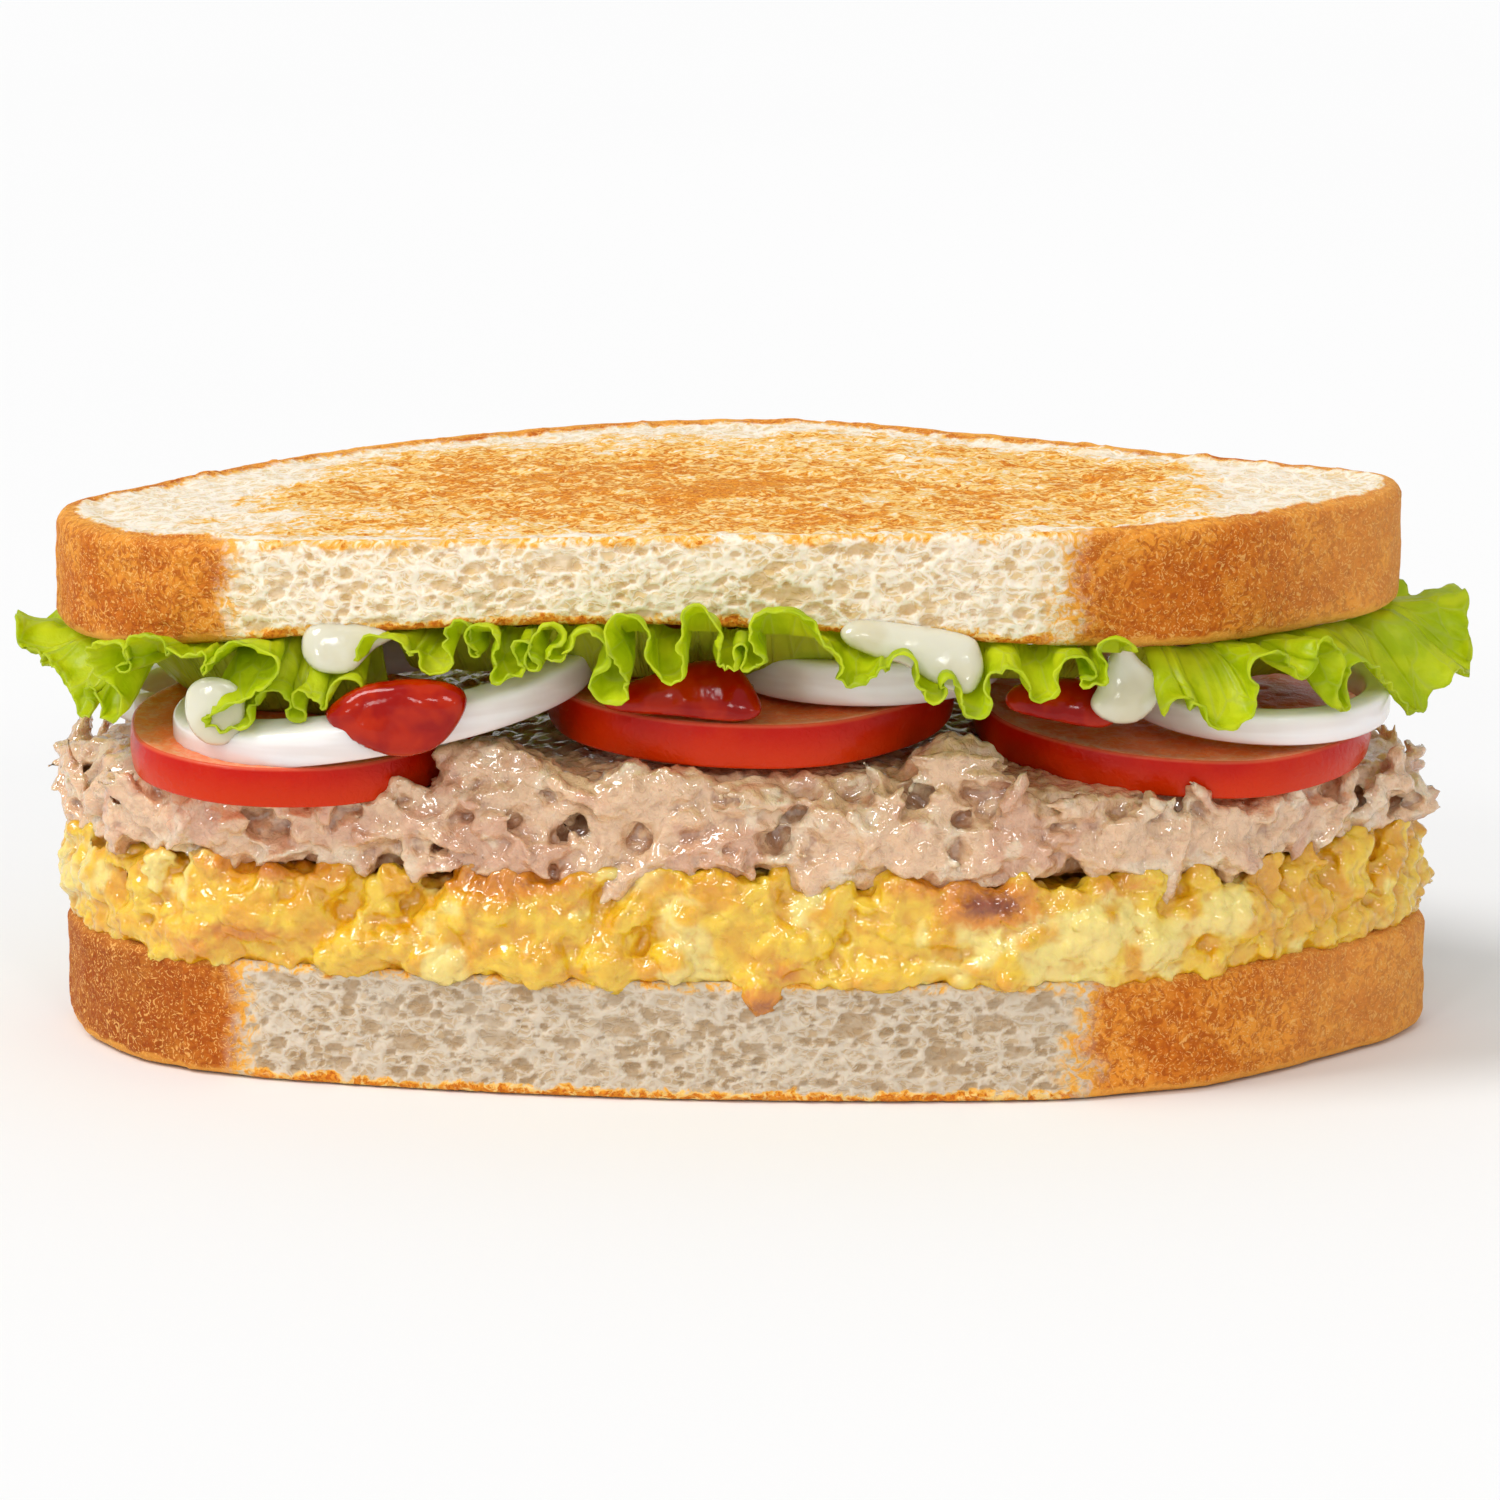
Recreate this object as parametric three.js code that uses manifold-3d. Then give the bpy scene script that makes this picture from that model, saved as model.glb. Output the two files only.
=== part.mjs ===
// A toasted tuna and egg sandwich, cut to a rounded half slice.
// From the bottom: bread, scrambled egg, tuna mayonnaise, tomato slices, onion rings,
// frilled lettuce with drops of mayonnaise and ketchup, and the upper slice of bread.
// Millimetres, +Z up, X to the right along the cut front, Y to the back.
// The origin is on the underside of the lower slice, under the middle of the sandwich.
import * as THREE from "three";
import { mergeVertices } from "three/addons/utils/BufferGeometryUtils.js";
import Module from "manifold-3d";

const wasm = await Module();
wasm.setup();

// Driving dimensions: heights above the table, and how the upper slice arches over the filling.
const LOWER_TOP = 14.3;
const EGG_TOP = 26.2;
const TUNA_TOP_MIDDLE = 39;
const TUNA_TOP_ENDS = 33;
const TUNA_RISE_TO_BACK = 0.05;
const UPPER_UNDERSIDE_ENDS = 51.2;
const UPPER_UNDERSIDE_ARCH = 6.2;
const UPPER_UNDERSIDE_CREST = -18;
const UPPER_TOP_ENDS = 66.1;
const UPPER_TOP_ARCH = 1.6;
const UPPER_FALL_TO_BACK = 0.02;
const UPPER_NARROWING = 0.98;
const BREAD_EDGE = 1.4;
const LEAF_THICKNESS = 0.9;

// Clearances between pieces that press into each other, and between layers.
const GAP = 0.3;
const LAYER_GAP = 0.4;

// The slice's plan: its corners, and how much of each side the rounding takes.
// The first side is the cut front, which bows forward.
const PLAN_CORNERS = [
  { x: -72, y: -24, round: 8.5 },
  { x: 52, y: -31, round: 17 },
  { x: 82.5, y: -12, round: 9 },
  { x: 82, y: 3, round: 5.8 },
  { x: 0, y: 52, round: 26 },
  { x: -52, y: 37, round: 18 },
  { x: -85, y: 4, round: 8 },
  { x: -82.5, y: -12, round: 7 },
];
const FRONT_BOW = 13;
const HALF_WIDTH = 84;
const PLAN_STEPS = 46;

const LOOKS = {
  crust: { color: 0xcf8a3e, roughness: 0.9 },
  egg: { color: 0xf0c945, roughness: 0.4 },
  tuna: { color: 0xd9b091, roughness: 0.4 },
  tomato: { color: 0xc8301a, roughness: 0.25 },
  onion: { color: 0xe9e6dc, roughness: 0.3 },
  lettuce: { color: 0x8fb81e, roughness: 0.4 },
  mayonnaise: { color: 0xefe9cf, roughness: 0.2 },
  ketchup: { color: 0xb5210a, roughness: 0.15 },
};

// A repeatable stream of random numbers from 0 to 1.
function randomStream(seed) {
  let state = seed >>> 0;
  return () => {
    state = (state + 0x6d2b79f5) >>> 0;
    let mixed = Math.imul(state ^ (state >>> 15), 1 | state);
    mixed = (mixed + Math.imul(mixed ^ (mixed >>> 7), 61 | mixed)) ^ mixed;
    return ((mixed ^ (mixed >>> 14)) >>> 0) / 4294967296;
  };
}

// Solids

const degrees = THREE.MathUtils.degToRad;

function solidFrom(geometry) {
  const bare = new THREE.BufferGeometry();
  bare.setAttribute("position", geometry.getAttribute("position").clone());
  if (geometry.index) bare.setIndex(geometry.index.clone());
  const merged = mergeVertices(bare, 1e-4);
  return new wasm.Manifold(
    new wasm.Mesh({
      numProp: 3,
      vertProperties: new Float32Array(merged.attributes.position.array),
      triVerts: new Uint32Array(merged.index.array),
    }),
  );
}

function largestBody(solid) {
  return solid.decompose().reduce((best, body) => (body.volume() > best.volume() ? body : best));
}

// What is left of a solid beside the cutters, without edges too small to matter.
function carve(solid, cutters) {
  const smallest = 0.02;
  const left = cutters.reduce((rest, cutter) => rest.subtract(cutter), solid);
  return largestBody(left.simplify(smallest));
}

function geometryOf(solid) {
  const mesh = solid.getMesh();
  const geometry = new THREE.BufferGeometry();
  geometry.setAttribute("position", new THREE.BufferAttribute(new Float32Array(mesh.vertProperties), 3));
  geometry.setIndex(new THREE.BufferAttribute(new Uint32Array(mesh.triVerts), 1));
  geometry.computeVertexNormals();
  return geometry;
}

// A closed solid from points and faces, whichever way round all of its faces are.
function outwardSolid(points, faces) {
  const geometry = new THREE.BufferGeometry().setFromPoints(points);
  geometry.setIndex(faces);
  const solid = solidFrom(geometry);
  if (solid.volume() > 0) return solid;
  geometry.setIndex(faces.slice().reverse());
  return solidFrom(geometry);
}

// Faces between each ring of points and the next; joined, the last ring meets the first.
function bandFaces(ringCount, pointCount, joined) {
  const faces = [];
  const bands = joined ? ringCount : ringCount - 1;
  for (let i = 0; i < bands; i++) {
    const next = (i + 1) % ringCount;
    for (let j = 0; j < pointCount; j++) {
      const k = (j + 1) % pointCount;
      faces.push(i * pointCount + j, i * pointCount + k, next * pointCount + k);
      faces.push(i * pointCount + j, next * pointCount + k, next * pointCount + j);
    }
  }
  return faces;
}

// A closed solid from a stack of rings of equal length, with a point that closes each end.
function stackSolid(rings, first, last) {
  const count = rings[0].length;
  const faces = bandFaces(rings.length, count, false);
  const firstIndex = rings.length * count;
  const top = firstIndex - count;
  for (let j = 0; j < count; j++) {
    const k = (j + 1) % count;
    faces.push(firstIndex, k, j);
    faces.push(firstIndex + 1, top + j, top + k);
  }
  return outwardSolid([...rings.flat(), first, last], faces);
}

// The slice's plan

function planOutline() {
  const corners = PLAN_CORNERS.map((c) => ({ at: new THREE.Vector2(c.x, c.y), round: c.round }));
  const shape = new THREE.Shape();
  corners.forEach((corner, i) => {
    const before = corners[(i + corners.length - 1) % corners.length].at;
    const after = corners[(i + 1) % corners.length].at;
    const start = corner.at.clone().add(before.clone().sub(corner.at).setLength(corner.round));
    const end = corner.at.clone().add(after.clone().sub(corner.at).setLength(corner.round));
    if (i === 0) shape.moveTo(start.x, start.y);
    else shape.lineTo(start.x, start.y);
    shape.quadraticCurveTo(corner.at.x, corner.at.y, end.x, end.y);
  });
  shape.closePath();
  return shape.getSpacedPoints(PLAN_STEPS * 8).map((p) => {
    const across = Math.max(0, 1 - (p.x / HALF_WIDTH) ** 2);
    const front = THREE.MathUtils.smoothstep(-p.y, 0, 28);
    return new THREE.Vector2(p.x, p.y - FRONT_BOW * across * front);
  });
}

const OUTLINE = planOutline().slice(0, -1);
const PERIMETER = OUTLINE.reduce(
  (sum, point, i) => sum + point.distanceTo(OUTLINE[(i + 1) % OUTLINE.length]),
  0,
);

// A point of the plan at a share of the way round, moved outwards, and the rim's direction there.
function rimPoint(share, outwards = 0) {
  const count = OUTLINE.length;
  const place = (((share % 1) + 1) % 1) * count;
  const i = Math.floor(place) % count;
  const at = OUTLINE[i].clone().lerp(OUTLINE[(i + 1) % count], place - Math.floor(place));
  const reach = 6;
  const ahead = OUTLINE[(i + reach) % count];
  const behind = OUTLINE[(i + count - reach) % count];
  const along = ahead.clone().sub(behind).normalize();
  const outward = new THREE.Vector2(along.y, -along.x);
  return { at: at.addScaledVector(outward, outwards), along };
}

// A ring round the rim, moved outwards and drawn in towards the middle, at a height that varies.
function rimRing(count, outwards, scale, heightAt) {
  return Array.from({ length: count }, (_, j) => {
    const { at } = rimPoint(j / count, outwards);
    at.multiplyScalar(scale);
    return new THREE.Vector3(at.x, at.y, heightAt(at.x, at.y));
  });
}

// Heights of the layers' faces, which arch from end to end.
const archAt = (x) => Math.cos((Math.PI * x) / 192) ** 2;
const eggTop = (x) => EGG_TOP + 0.9 * Math.cos(x / 14);
const tunaTop = (x, y) =>
  TUNA_TOP_ENDS +
  (TUNA_TOP_MIDDLE - TUNA_TOP_ENDS) * archAt(x) +
  TUNA_RISE_TO_BACK * (y - PLAN_CORNERS[1].y);
const fallToBack = (y) => UPPER_FALL_TO_BACK * (y + 38);
const upperUnderside = (x, y) =>
  UPPER_UNDERSIDE_ENDS +
  UPPER_UNDERSIDE_ARCH * archAt(x - UPPER_UNDERSIDE_CREST) +
  0.028 * x -
  fallToBack(y);
const upperTop = (x, y) => UPPER_TOP_ENDS + UPPER_TOP_ARCH * archAt(x) + 0.022 * x - fallToBack(y);

// Bread: a slab with rounded edges between two faces. The upper slice is a little shorter than
// the lower one, with their left ends in line.
const LOWER_SLICE = { bottomAt: () => 0, topAt: () => LOWER_TOP, narrowing: 1 };
const UPPER_SLICE = { bottomAt: upperUnderside, topAt: upperTop, narrowing: UPPER_NARROWING };

function breadSolid({ bottomAt, topAt, narrowing }, grow = 0) {
  const low = (x, y) => bottomAt(x, y) - grow;
  const high = (x, y) => topAt(x, y) + grow;
  const rings = [
    rimRing(PLAN_STEPS, 0, 0.5, low),
    rimRing(PLAN_STEPS, grow - BREAD_EDGE, 1, low),
    rimRing(PLAN_STEPS, grow, 1, (x, y) => low(x, y) + BREAD_EDGE),
    rimRing(PLAN_STEPS, grow, 1, (x, y) => high(x, y) - BREAD_EDGE),
    rimRing(PLAN_STEPS, grow - BREAD_EDGE, 1, high),
    rimRing(PLAN_STEPS, 0, 0.5, high),
  ];
  const underneath = new THREE.Vector3(0, 0, low(0, 0));
  const above = new THREE.Vector3(0, 0, high(0, 0));
  const slab = stackSolid(rings, underneath, above);
  return slab.translate([HALF_WIDTH, 0, 0]).scale([narrowing, 1, 1]).translate([-HALF_WIDTH, 0, 0]);
}

// Heaps: a core with a knobbly wall, and the curds or flakes that stand out from it.
const HEAP_STEPS = 72;
const HEAP_LEVELS = 4;

// How far the nearest knob stands out at a place on a layer's wall, from 0 to 1.
function knobAt(share, height, size, seed) {
  const cells = Math.round(PERIMETER / size);
  const along = share * cells;
  const up = height / size;
  let best = 0;
  for (let i = Math.floor(along) - 1; i <= Math.floor(along) + 1; i++) {
    for (let j = Math.floor(up) - 1; j <= Math.floor(up) + 1; j++) {
      const random = randomStream(seed + 131 * ((i + cells) % cells) + 7919 * (j + 2));
      const across = along - i - random();
      const above = up - j - random();
      const distance = Math.hypot(across, above) / (0.5 + 0.45 * random());
      best = Math.max(best, Math.sqrt(Math.max(0, 1 - distance ** 2)));
    }
  }
  return best;
}

function coreSolid(layer, grow) {
  const rings = [];
  for (let level = 0; level <= HEAP_LEVELS; level++) {
    const rise = level / HEAP_LEVELS;
    const belly = layer.belly * Math.sin(Math.PI * (0.12 + 0.76 * rise));
    const ring = [];
    for (let j = 0; j < HEAP_STEPS; j++) {
      const share = (j + 0.5 * (level % 2)) / HEAP_STEPS;
      const knob = layer.knobHeight * knobAt(share, rise * 14, layer.knobSize, layer.seed);
      const { at } = rimPoint(share, layer.inset + belly + knob + grow);
      const low = layer.bottomAt(at.x) - grow;
      const high = layer.topAt(at.x, at.y) + grow;
      ring.push(new THREE.Vector3(at.x, at.y, low + (high - low) * rise));
    }
    rings.push(ring);
  }
  const low = new THREE.Vector3(0, 0, layer.bottomAt(0) - grow);
  const high = new THREE.Vector3(0, 0, layer.topAt(0, 0) + grow);
  return stackSolid(rings, low, high);
}

// A lump is a rough few-sided ball, stretched, and narrower towards the ends of its length.
function lumpSolid(lump, grow = 0) {
  const geometry = new THREE.SphereGeometry(1, 6, 4);
  geometry.rotateZ(Math.PI / 2);
  const position = geometry.getAttribute("position");
  const point = new THREE.Vector3();
  for (let i = 0; i < position.count; i++) {
    point.fromBufferAttribute(position, i);
    const wave =
      Math.sin(3.1 * point.x + lump.phase) * Math.cos(2.7 * point.y - 1.9 * point.z + lump.phase);
    const narrow = 1 - lump.taper * point.x ** 2;
    point.multiplyScalar(1 + 0.16 * wave);
    point.set(
      point.x * (lump.radii.x + grow),
      point.y * narrow * (lump.radii.y + grow),
      point.z * narrow * (lump.radii.z + grow),
    );
    point.applyEuler(lump.turn).add(lump.centre);
    position.setXYZ(i, point.x, point.y, point.z);
  }
  return solidFrom(geometry);
}

// Lumps of about one size spread round the rim of a layer.
function rimLumps(row) {
  const random = randomStream(row.seed);
  const between = (low, high) => low + (high - low) * random();
  return Array.from({ length: row.count }, (_, i) => {
    const share = (i + row.start + between(-0.28, 0.28)) / row.count;
    const { at, along } = rimPoint(share, row.outwards + between(-row.spread, row.spread));
    const size = between(0.78, 1.22);
    return {
      centre: new THREE.Vector3(at.x, at.y, row.z + between(-1, 1)),
      radii: new THREE.Vector3(...row.radii).multiplyScalar(size),
      turn: new THREE.Euler(
        between(-row.tumble, row.tumble),
        between(-row.tumble, row.tumble),
        Math.atan2(along.y, along.x) + between(-row.tumble, row.tumble),
        "ZYX",
      ),
      taper: row.taper,
      phase: between(0, 6),
    };
  });
}

// A lump at a chosen place, turned about the Y axis.
function placedLump(at, radii, lean, taper) {
  return {
    centre: new THREE.Vector3(...at),
    radii: new THREE.Vector3(...radii),
    turn: new THREE.Euler(0, degrees(lean), 0),
    taper,
    phase: at[0],
  };
}

function heapSolid(layer, grow = 0) {
  const lumps = layer.lumps.map((lump) => lumpSolid(lump, grow));
  return wasm.Manifold.union([coreSolid(layer, grow), ...lumps]);
}

// Scrambled egg: soft curds, with a folded flap and a browned drop over the bread in front.
const EGG_CURDS_LOW = {
  seed: 11, count: 10, start: 0, z: 17.6, outwards: -2, spread: 0.7,
  tumble: 0.3, radii: [6, 3.6, 3.3], taper: 0,
};
const EGG_CURDS_HIGH = {
  seed: 12, count: 9, start: 0.5, z: 22, outwards: -2, spread: 0.9,
  tumble: 0.35, radii: [8.4, 3.8, 3.6], taper: 0,
};
const EGG = {
  bottomAt: () => LOWER_TOP + LAYER_GAP,
  topAt: eggTop,
  inset: -4.6,
  belly: 2,
  knobSize: 9,
  knobHeight: 2.7,
  seed: 300,
  lumps: [
    ...rimLumps(EGG_CURDS_LOW),
    ...rimLumps(EGG_CURDS_HIGH),
    placedLump([1.5, -39.4, 14.4], [3.6, 2.6, 4.4], 0, 0),
    placedLump([-7, -39.4, 21], [7.6, 3, 5.6], 12, 0),
  ],
};

// Tuna mayonnaise: pointed flakes that hang over the egg and rise between the tomato slices.
const TUNA_FLAKES_LOW = {
  seed: 23, count: 10, start: 0.2, z: 30.4, outwards: -3.8, spread: 1,
  tumble: 0.6, radii: [7.4, 3.2, 3], taper: 0.35,
};
const TUNA_FLAKES_HIGH = {
  seed: 24, count: 8, start: 0.7, z: 33.4, outwards: -3.8, spread: 1.3,
  tumble: 0.8, radii: [8, 3.4, 3.2], taper: 0.35,
};
const TUNA = {
  bottomAt: (x) => eggTop(x) + LAYER_GAP,
  topAt: tunaTop,
  inset: -6.6,
  belly: 1.6,
  knobSize: 10,
  knobHeight: 3.5,
  seed: 700,
  lumps: [
    ...rimLumps(TUNA_FLAKES_LOW),
    ...rimLumps(TUNA_FLAKES_HIGH),
    placedLump([-30, -33.5, 38.6], [9, 4.2, 4], 10, 0.3),
    placedLump([-14, -38.4, 36.6], [5, 2.8, 4.6], 0, 0.2),
    placedLump([24, -34.6, 39], [6.4, 4, 4.4], -8, 0.3),
    placedLump([-17.5, -37.4, 27], [6, 2.4, 2.6], -28, 0.5),
    placedLump([10, -39.5, 28.4], [7, 2.4, 2.6], 34, 0.5),
    placedLump([31, -39.4, 28.6], [6, 2.4, 2.6], 62, 0.5),
    placedLump([56, -33.6, 28.6], [6, 3, 3], 22, 0.4),
    placedLump([-76, -10, 34], [3.4, 6, 3.4], 0, 0.2),
  ],
};

// Tomato: a round slice with a rounded skin, tipped a little towards the front.
const TOMATO_SKIN = 0.8;
const TOMATOES = [
  { name: "tomato_left", at: [-54, -17.6, 36.3], radius: 20.5, thickness: 4.9, tip: 5, lean: 0 },
  { name: "tomato_middle", at: [0, -14, 40.8], radius: 24.4, thickness: 5.4, tip: 3, lean: 0 },
  { name: "tomato_right", at: [51, -10, 37.1], radius: 24, thickness: 4.7, tip: 5, lean: 2.5 },
  { name: "tomato_back", at: [3, 26.6, 41.6], radius: 15.4, thickness: 5.2, tip: 1, lean: 1 },
];

function tomatoSolid({ at, radius, thickness, tip, lean }, grow = 0) {
  const steps = 28;
  const turn = new THREE.Euler(degrees(tip), degrees(lean), 0);
  const place = (x, y, z) => new THREE.Vector3(x, y, z).applyEuler(turn).add(new THREE.Vector3(...at));
  const ring = (inwards, z) =>
    Array.from({ length: steps }, (_, j) => {
      const angle = (2 * Math.PI * j) / steps;
      const wobble = 1 + 0.012 * Math.sin(3 * angle + radius) + 0.008 * Math.cos(5 * angle);
      const r = wobble * (radius + grow - inwards);
      return place(r * Math.cos(angle), r * Math.sin(angle), z);
    });
  const rings = [
    ring(TOMATO_SKIN, -grow),
    ring(0, TOMATO_SKIN - grow),
    ring(0, thickness - TOMATO_SKIN + grow),
    ring(TOMATO_SKIN, thickness + grow),
  ];
  return stackSolid(rings, place(0, 0, -grow), place(0, 0, thickness + grow));
}

// Onion: an oval ring of rounded section on a sloping plane, or an open piece of one.
// Its width runs outwards and its height upwards, rolled over at the front.
const ONIONS = [
  {
    name: "onion_left", at: [-43.5, -22, 45.2], radius: 25.2, depth: 16.4,
    slopeX: 0.17, slopeY: 0.1, width: 4.4, height: 4.8, roll: 14,
  },
  {
    name: "onion_middle", at: [13.5, -16.4, 49.1], radius: 17, depth: 16.6,
    slopeX: 0, slopeY: 0.05, width: 3.4, height: 5.2, roll: 0,
  },
  {
    name: "onion_right", at: [60.5, -15, 44], radius: 16.4, depth: 16.2,
    slopeX: -0.045, slopeY: 0.09, width: 3.2, height: 3.8, roll: 4,
  },
  {
    name: "onion_back", at: [0, 25, 49], radius: 14.4, depth: 12.6,
    slopeX: 0, slopeY: 0, width: 3.3, height: 3.8, roll: 0,
  },
  {
    name: "onion_far_left", at: [-64, 3, 40], radius: 14.4, depth: 14,
    slopeX: 0.05, slopeY: 0, width: 3.2, height: 3.6, roll: 0, from: 125, to: 222,
  },
];
const ONION_STEPS = 26;
const ONION_SECTION = [
  [-1, -0.8], [0.4, -1], [1, -0.3], [1, 0.4], [0.4, 1], [-1, 0.8],
];

// A point of the onion at an angle round it, so far outwards and upwards from its middle line.
function onionPoint(onion, angle, across, upwards) {
  const roll = degrees(onion.roll) * Math.max(0, -Math.sin(angle));
  const outwards = across * Math.cos(roll) + upwards * Math.sin(roll);
  const up = upwards * Math.cos(roll) - across * Math.sin(roll);
  const x = Math.cos(angle) * (onion.radius - onion.width / 2 + outwards);
  const y = Math.sin(angle) * (onion.depth - onion.width / 2 + outwards);
  const rise = onion.slopeX * x + onion.slopeY * y;
  return new THREE.Vector3(x, y, rise + up).add(new THREE.Vector3(...onion.at));
}

function onionSolid(onion, grow = 0) {
  const open = onion.from !== undefined;
  const endGrow = open ? grow / onion.radius : 0;
  const from = open ? degrees(onion.from) - endGrow : 0;
  const to = open ? degrees(onion.to) + endGrow : 2 * Math.PI;
  const steps = open ? 9 : ONION_STEPS;
  const rings = Array.from({ length: open ? steps + 1 : steps }, (_, i) => {
    const angle = from + ((to - from) * i) / steps;
    return ONION_SECTION.map(([u, v]) =>
      onionPoint(onion, angle, u * (onion.width / 2 + grow), v * (onion.height / 2 + grow)),
    );
  });
  if (open) return stackSolid(rings, onionPoint(onion, from, 0, 0), onionPoint(onion, to, 0, 0));
  return outwardSolid(rings.flat(), bandFaces(rings.length, ONION_SECTION.length, true));
}

// Lettuce: a thin leaf along part of the rim, ruffled more and more towards its free edge.
// It starts and ends at shares of the way round the rim, and its free edge bends up or down there.
const LEAVES = [
  {
    name: "lettuce_left", from: -0.149, to: 0.068, waves: 6, swing: 74, reach: 4,
    inset: 17, inner: 51, rim: 47.4, seed: 5, bends: [{ x: -62, width: 8, rise: -1.6 }],
  },
  {
    name: "lettuce_middle", from: 0.096, to: 0.312, waves: 7, swing: 76, reach: 4.8,
    inset: 17, inner: 52.4, rim: 50.4, seed: 9,
    bends: [{ x: 3, width: 7, rise: 4 }, { x: 19, width: 8, rise: -3 }],
  },
  {
    name: "lettuce_right", from: 0.326, to: 0.486, waves: 5, swing: 74, reach: 5.2,
    inset: 10, inner: 49.4, rim: 48.4, seed: 14, bends: [{ x: 84, width: 8, rise: 3 }],
  },
  {
    name: "lettuce_back_right", from: 0.496, to: 0.66, waves: 4, swing: 70, reach: 4,
    inset: 17, inner: 51.6, rim: 50, seed: 21, bends: [],
  },
  {
    name: "lettuce_back_left", from: 0.672, to: 0.84, waves: 4, swing: 70, reach: 4,
    inset: 17, inner: 51.6, rim: 50, seed: 27, bends: [],
  },
];

// Rows of a leaf from its hidden inner edge to its free edge: how far out, as a share of the
// inset inside the rim or of the reach outside it, how much of the ruffle has grown, and how far
// the row may rise above the upper slice's underside.
const LEAF_CLEARANCE = GAP + LEAF_THICKNESS + 0.3;
const LEAF_ROWS = [
  { inside: 1, outside: 0, ruffle: 0, ceiling: 0 },
  { inside: 0.34, outside: 0, ruffle: 0.4, ceiling: 0 },
  { inside: 0, outside: 0.3, ruffle: 0.75, ceiling: 0.6 },
  { inside: 0, outside: 1, ruffle: 1, ceiling: 5 },
];
const LEAF_COLUMNS_PER_WAVE = 6;

// A ruffled line of length 1, whose heading swings up and down, as shares across and up.
function ruffleLine(leaf, ruffle, steps) {
  const random = randomStream(leaf.seed);
  const swings = Array.from({ length: leaf.waves * 2 + 2 }, () => 0.7 + 0.42 * random());
  const line = [{ across: 0, up: 0 }];
  for (let i = 1; i <= steps; i++) {
    const phase = (2 * leaf.waves * (i - 0.5)) / steps;
    const swing = THREE.MathUtils.degToRad(leaf.swing) * swings[Math.floor(phase)] * ruffle;
    const heading = swing * Math.sin(Math.PI * phase);
    const last = line[line.length - 1];
    line.push({ across: last.across + Math.cos(heading), up: last.up + Math.sin(heading) });
  }
  const end = line[steps];
  return line.map((p, i) => ({
    across: p.across / end.across,
    up: (p.up - (end.up * i) / steps) / end.across,
  }));
}

function leafRow(leaf, row, columns) {
  const span = PERIMETER * (leaf.to - leaf.from);
  const outwards = leaf.reach * row.outside - leaf.inset * row.inside;
  return ruffleLine(leaf, row.ruffle, columns).map((place) => {
    const nearEnd = Math.max(0, 1 - 8 * Math.min(place.across, 1 - place.across));
    const share = leaf.from + (leaf.to - leaf.from) * place.across;
    const { at } = rimPoint(share, outwards - 2 * nearEnd * row.outside);
    const bend = leaf.bends
      .map(({ x, width, rise }) => rise * Math.exp(-(((at.x - x) / width) ** 2)))
      .reduce((sum, rise) => sum + rise, 0);
    const flat = leaf.inner + (leaf.rim - leaf.inner + bend) * row.ruffle;
    const ceiling = upperUnderside(at.x, at.y) - LEAF_CLEARANCE + row.ceiling;
    return new THREE.Vector3(at.x, at.y, Math.min(flat + span * place.up, ceiling));
  });
}

// The leaf's two faces, half its thickness to either side of the rows, and its edge between them.
function leafSolid(leaf, grow = 0) {
  const columns = Math.round(leaf.waves * LEAF_COLUMNS_PER_WAVE);
  const rows = LEAF_ROWS.map((row) => leafRow(leaf, row, columns));
  const last = rows.length - 1;
  const width = columns + 1;
  const half = LEAF_THICKNESS / 2 + grow;
  const upper = [];
  const lower = [];
  rows.forEach((row, r) => {
    row.forEach((point, i) => {
      const along = row[Math.min(i + 1, columns)].clone().sub(row[Math.max(i - 1, 0)]);
      const out = rows[Math.min(r + 1, last)][i].clone().sub(rows[Math.max(r - 1, 0)][i]);
      const normal = out.cross(along).normalize();
      upper.push(point.clone().addScaledVector(normal, half));
      lower.push(point.clone().addScaledVector(normal, -half));
    });
  });
  const shift = upper.length;
  const faces = [];
  for (let r = 0; r < last; r++) {
    for (let i = 0; i < columns; i++) {
      const a = r * width + i;
      const b = a + 1;
      const c = a + width;
      const d = c + 1;
      faces.push(a, c, b, b, c, d);
      faces.push(a + shift, b + shift, c + shift, b + shift, d + shift, c + shift);
    }
  }
  const rim = [];
  for (let i = 0; i < columns; i++) rim.push(i);
  for (let r = 0; r < last; r++) rim.push(r * width + columns);
  for (let i = columns; i > 0; i--) rim.push(last * width + i);
  for (let r = last; r > 0; r--) rim.push(r * width);
  rim.forEach((p, i) => {
    const q = rim[(i + 1) % rim.length];
    faces.push(p, q, q + shift, p, q + shift, p + shift);
  });
  return outwardSolid([...upper, ...lower], faces);
}

// Drops of sauce: soft rounded blobs that fill the gaps they lie in.
const DROPS = [
  { name: "mayonnaise_left_top", at: [-48.4, -34.6, 52.8], radii: [6, 4.4, 3.6], lean: 0 },
  { name: "mayonnaise_left_drip", at: [-61, -35, 43.4], radii: [6.6, 4.6, 4], lean: 20 },
  { name: "mayonnaise_middle", at: [19.5, -41.4, 53.6], radii: [9.6, 3.6, 3.2], lean: 14 },
  { name: "mayonnaise_right", at: [45.6, -35.6, 48.2], radii: [5.2, 4.6, 4.6], lean: 0 },
  { name: "ketchup_left", at: [-40.5, -37.6, 44.8], radii: [8.6, 4, 3.8], lean: -4 },
  { name: "ketchup_middle", at: [-8.5, -33, 47.6], radii: [8.6, 5, 2.4], lean: 0 },
  { name: "ketchup_right", at: [36, -30.4, 44.6], radii: [6, 4.6, 2.6], lean: 0 },
];

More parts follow.
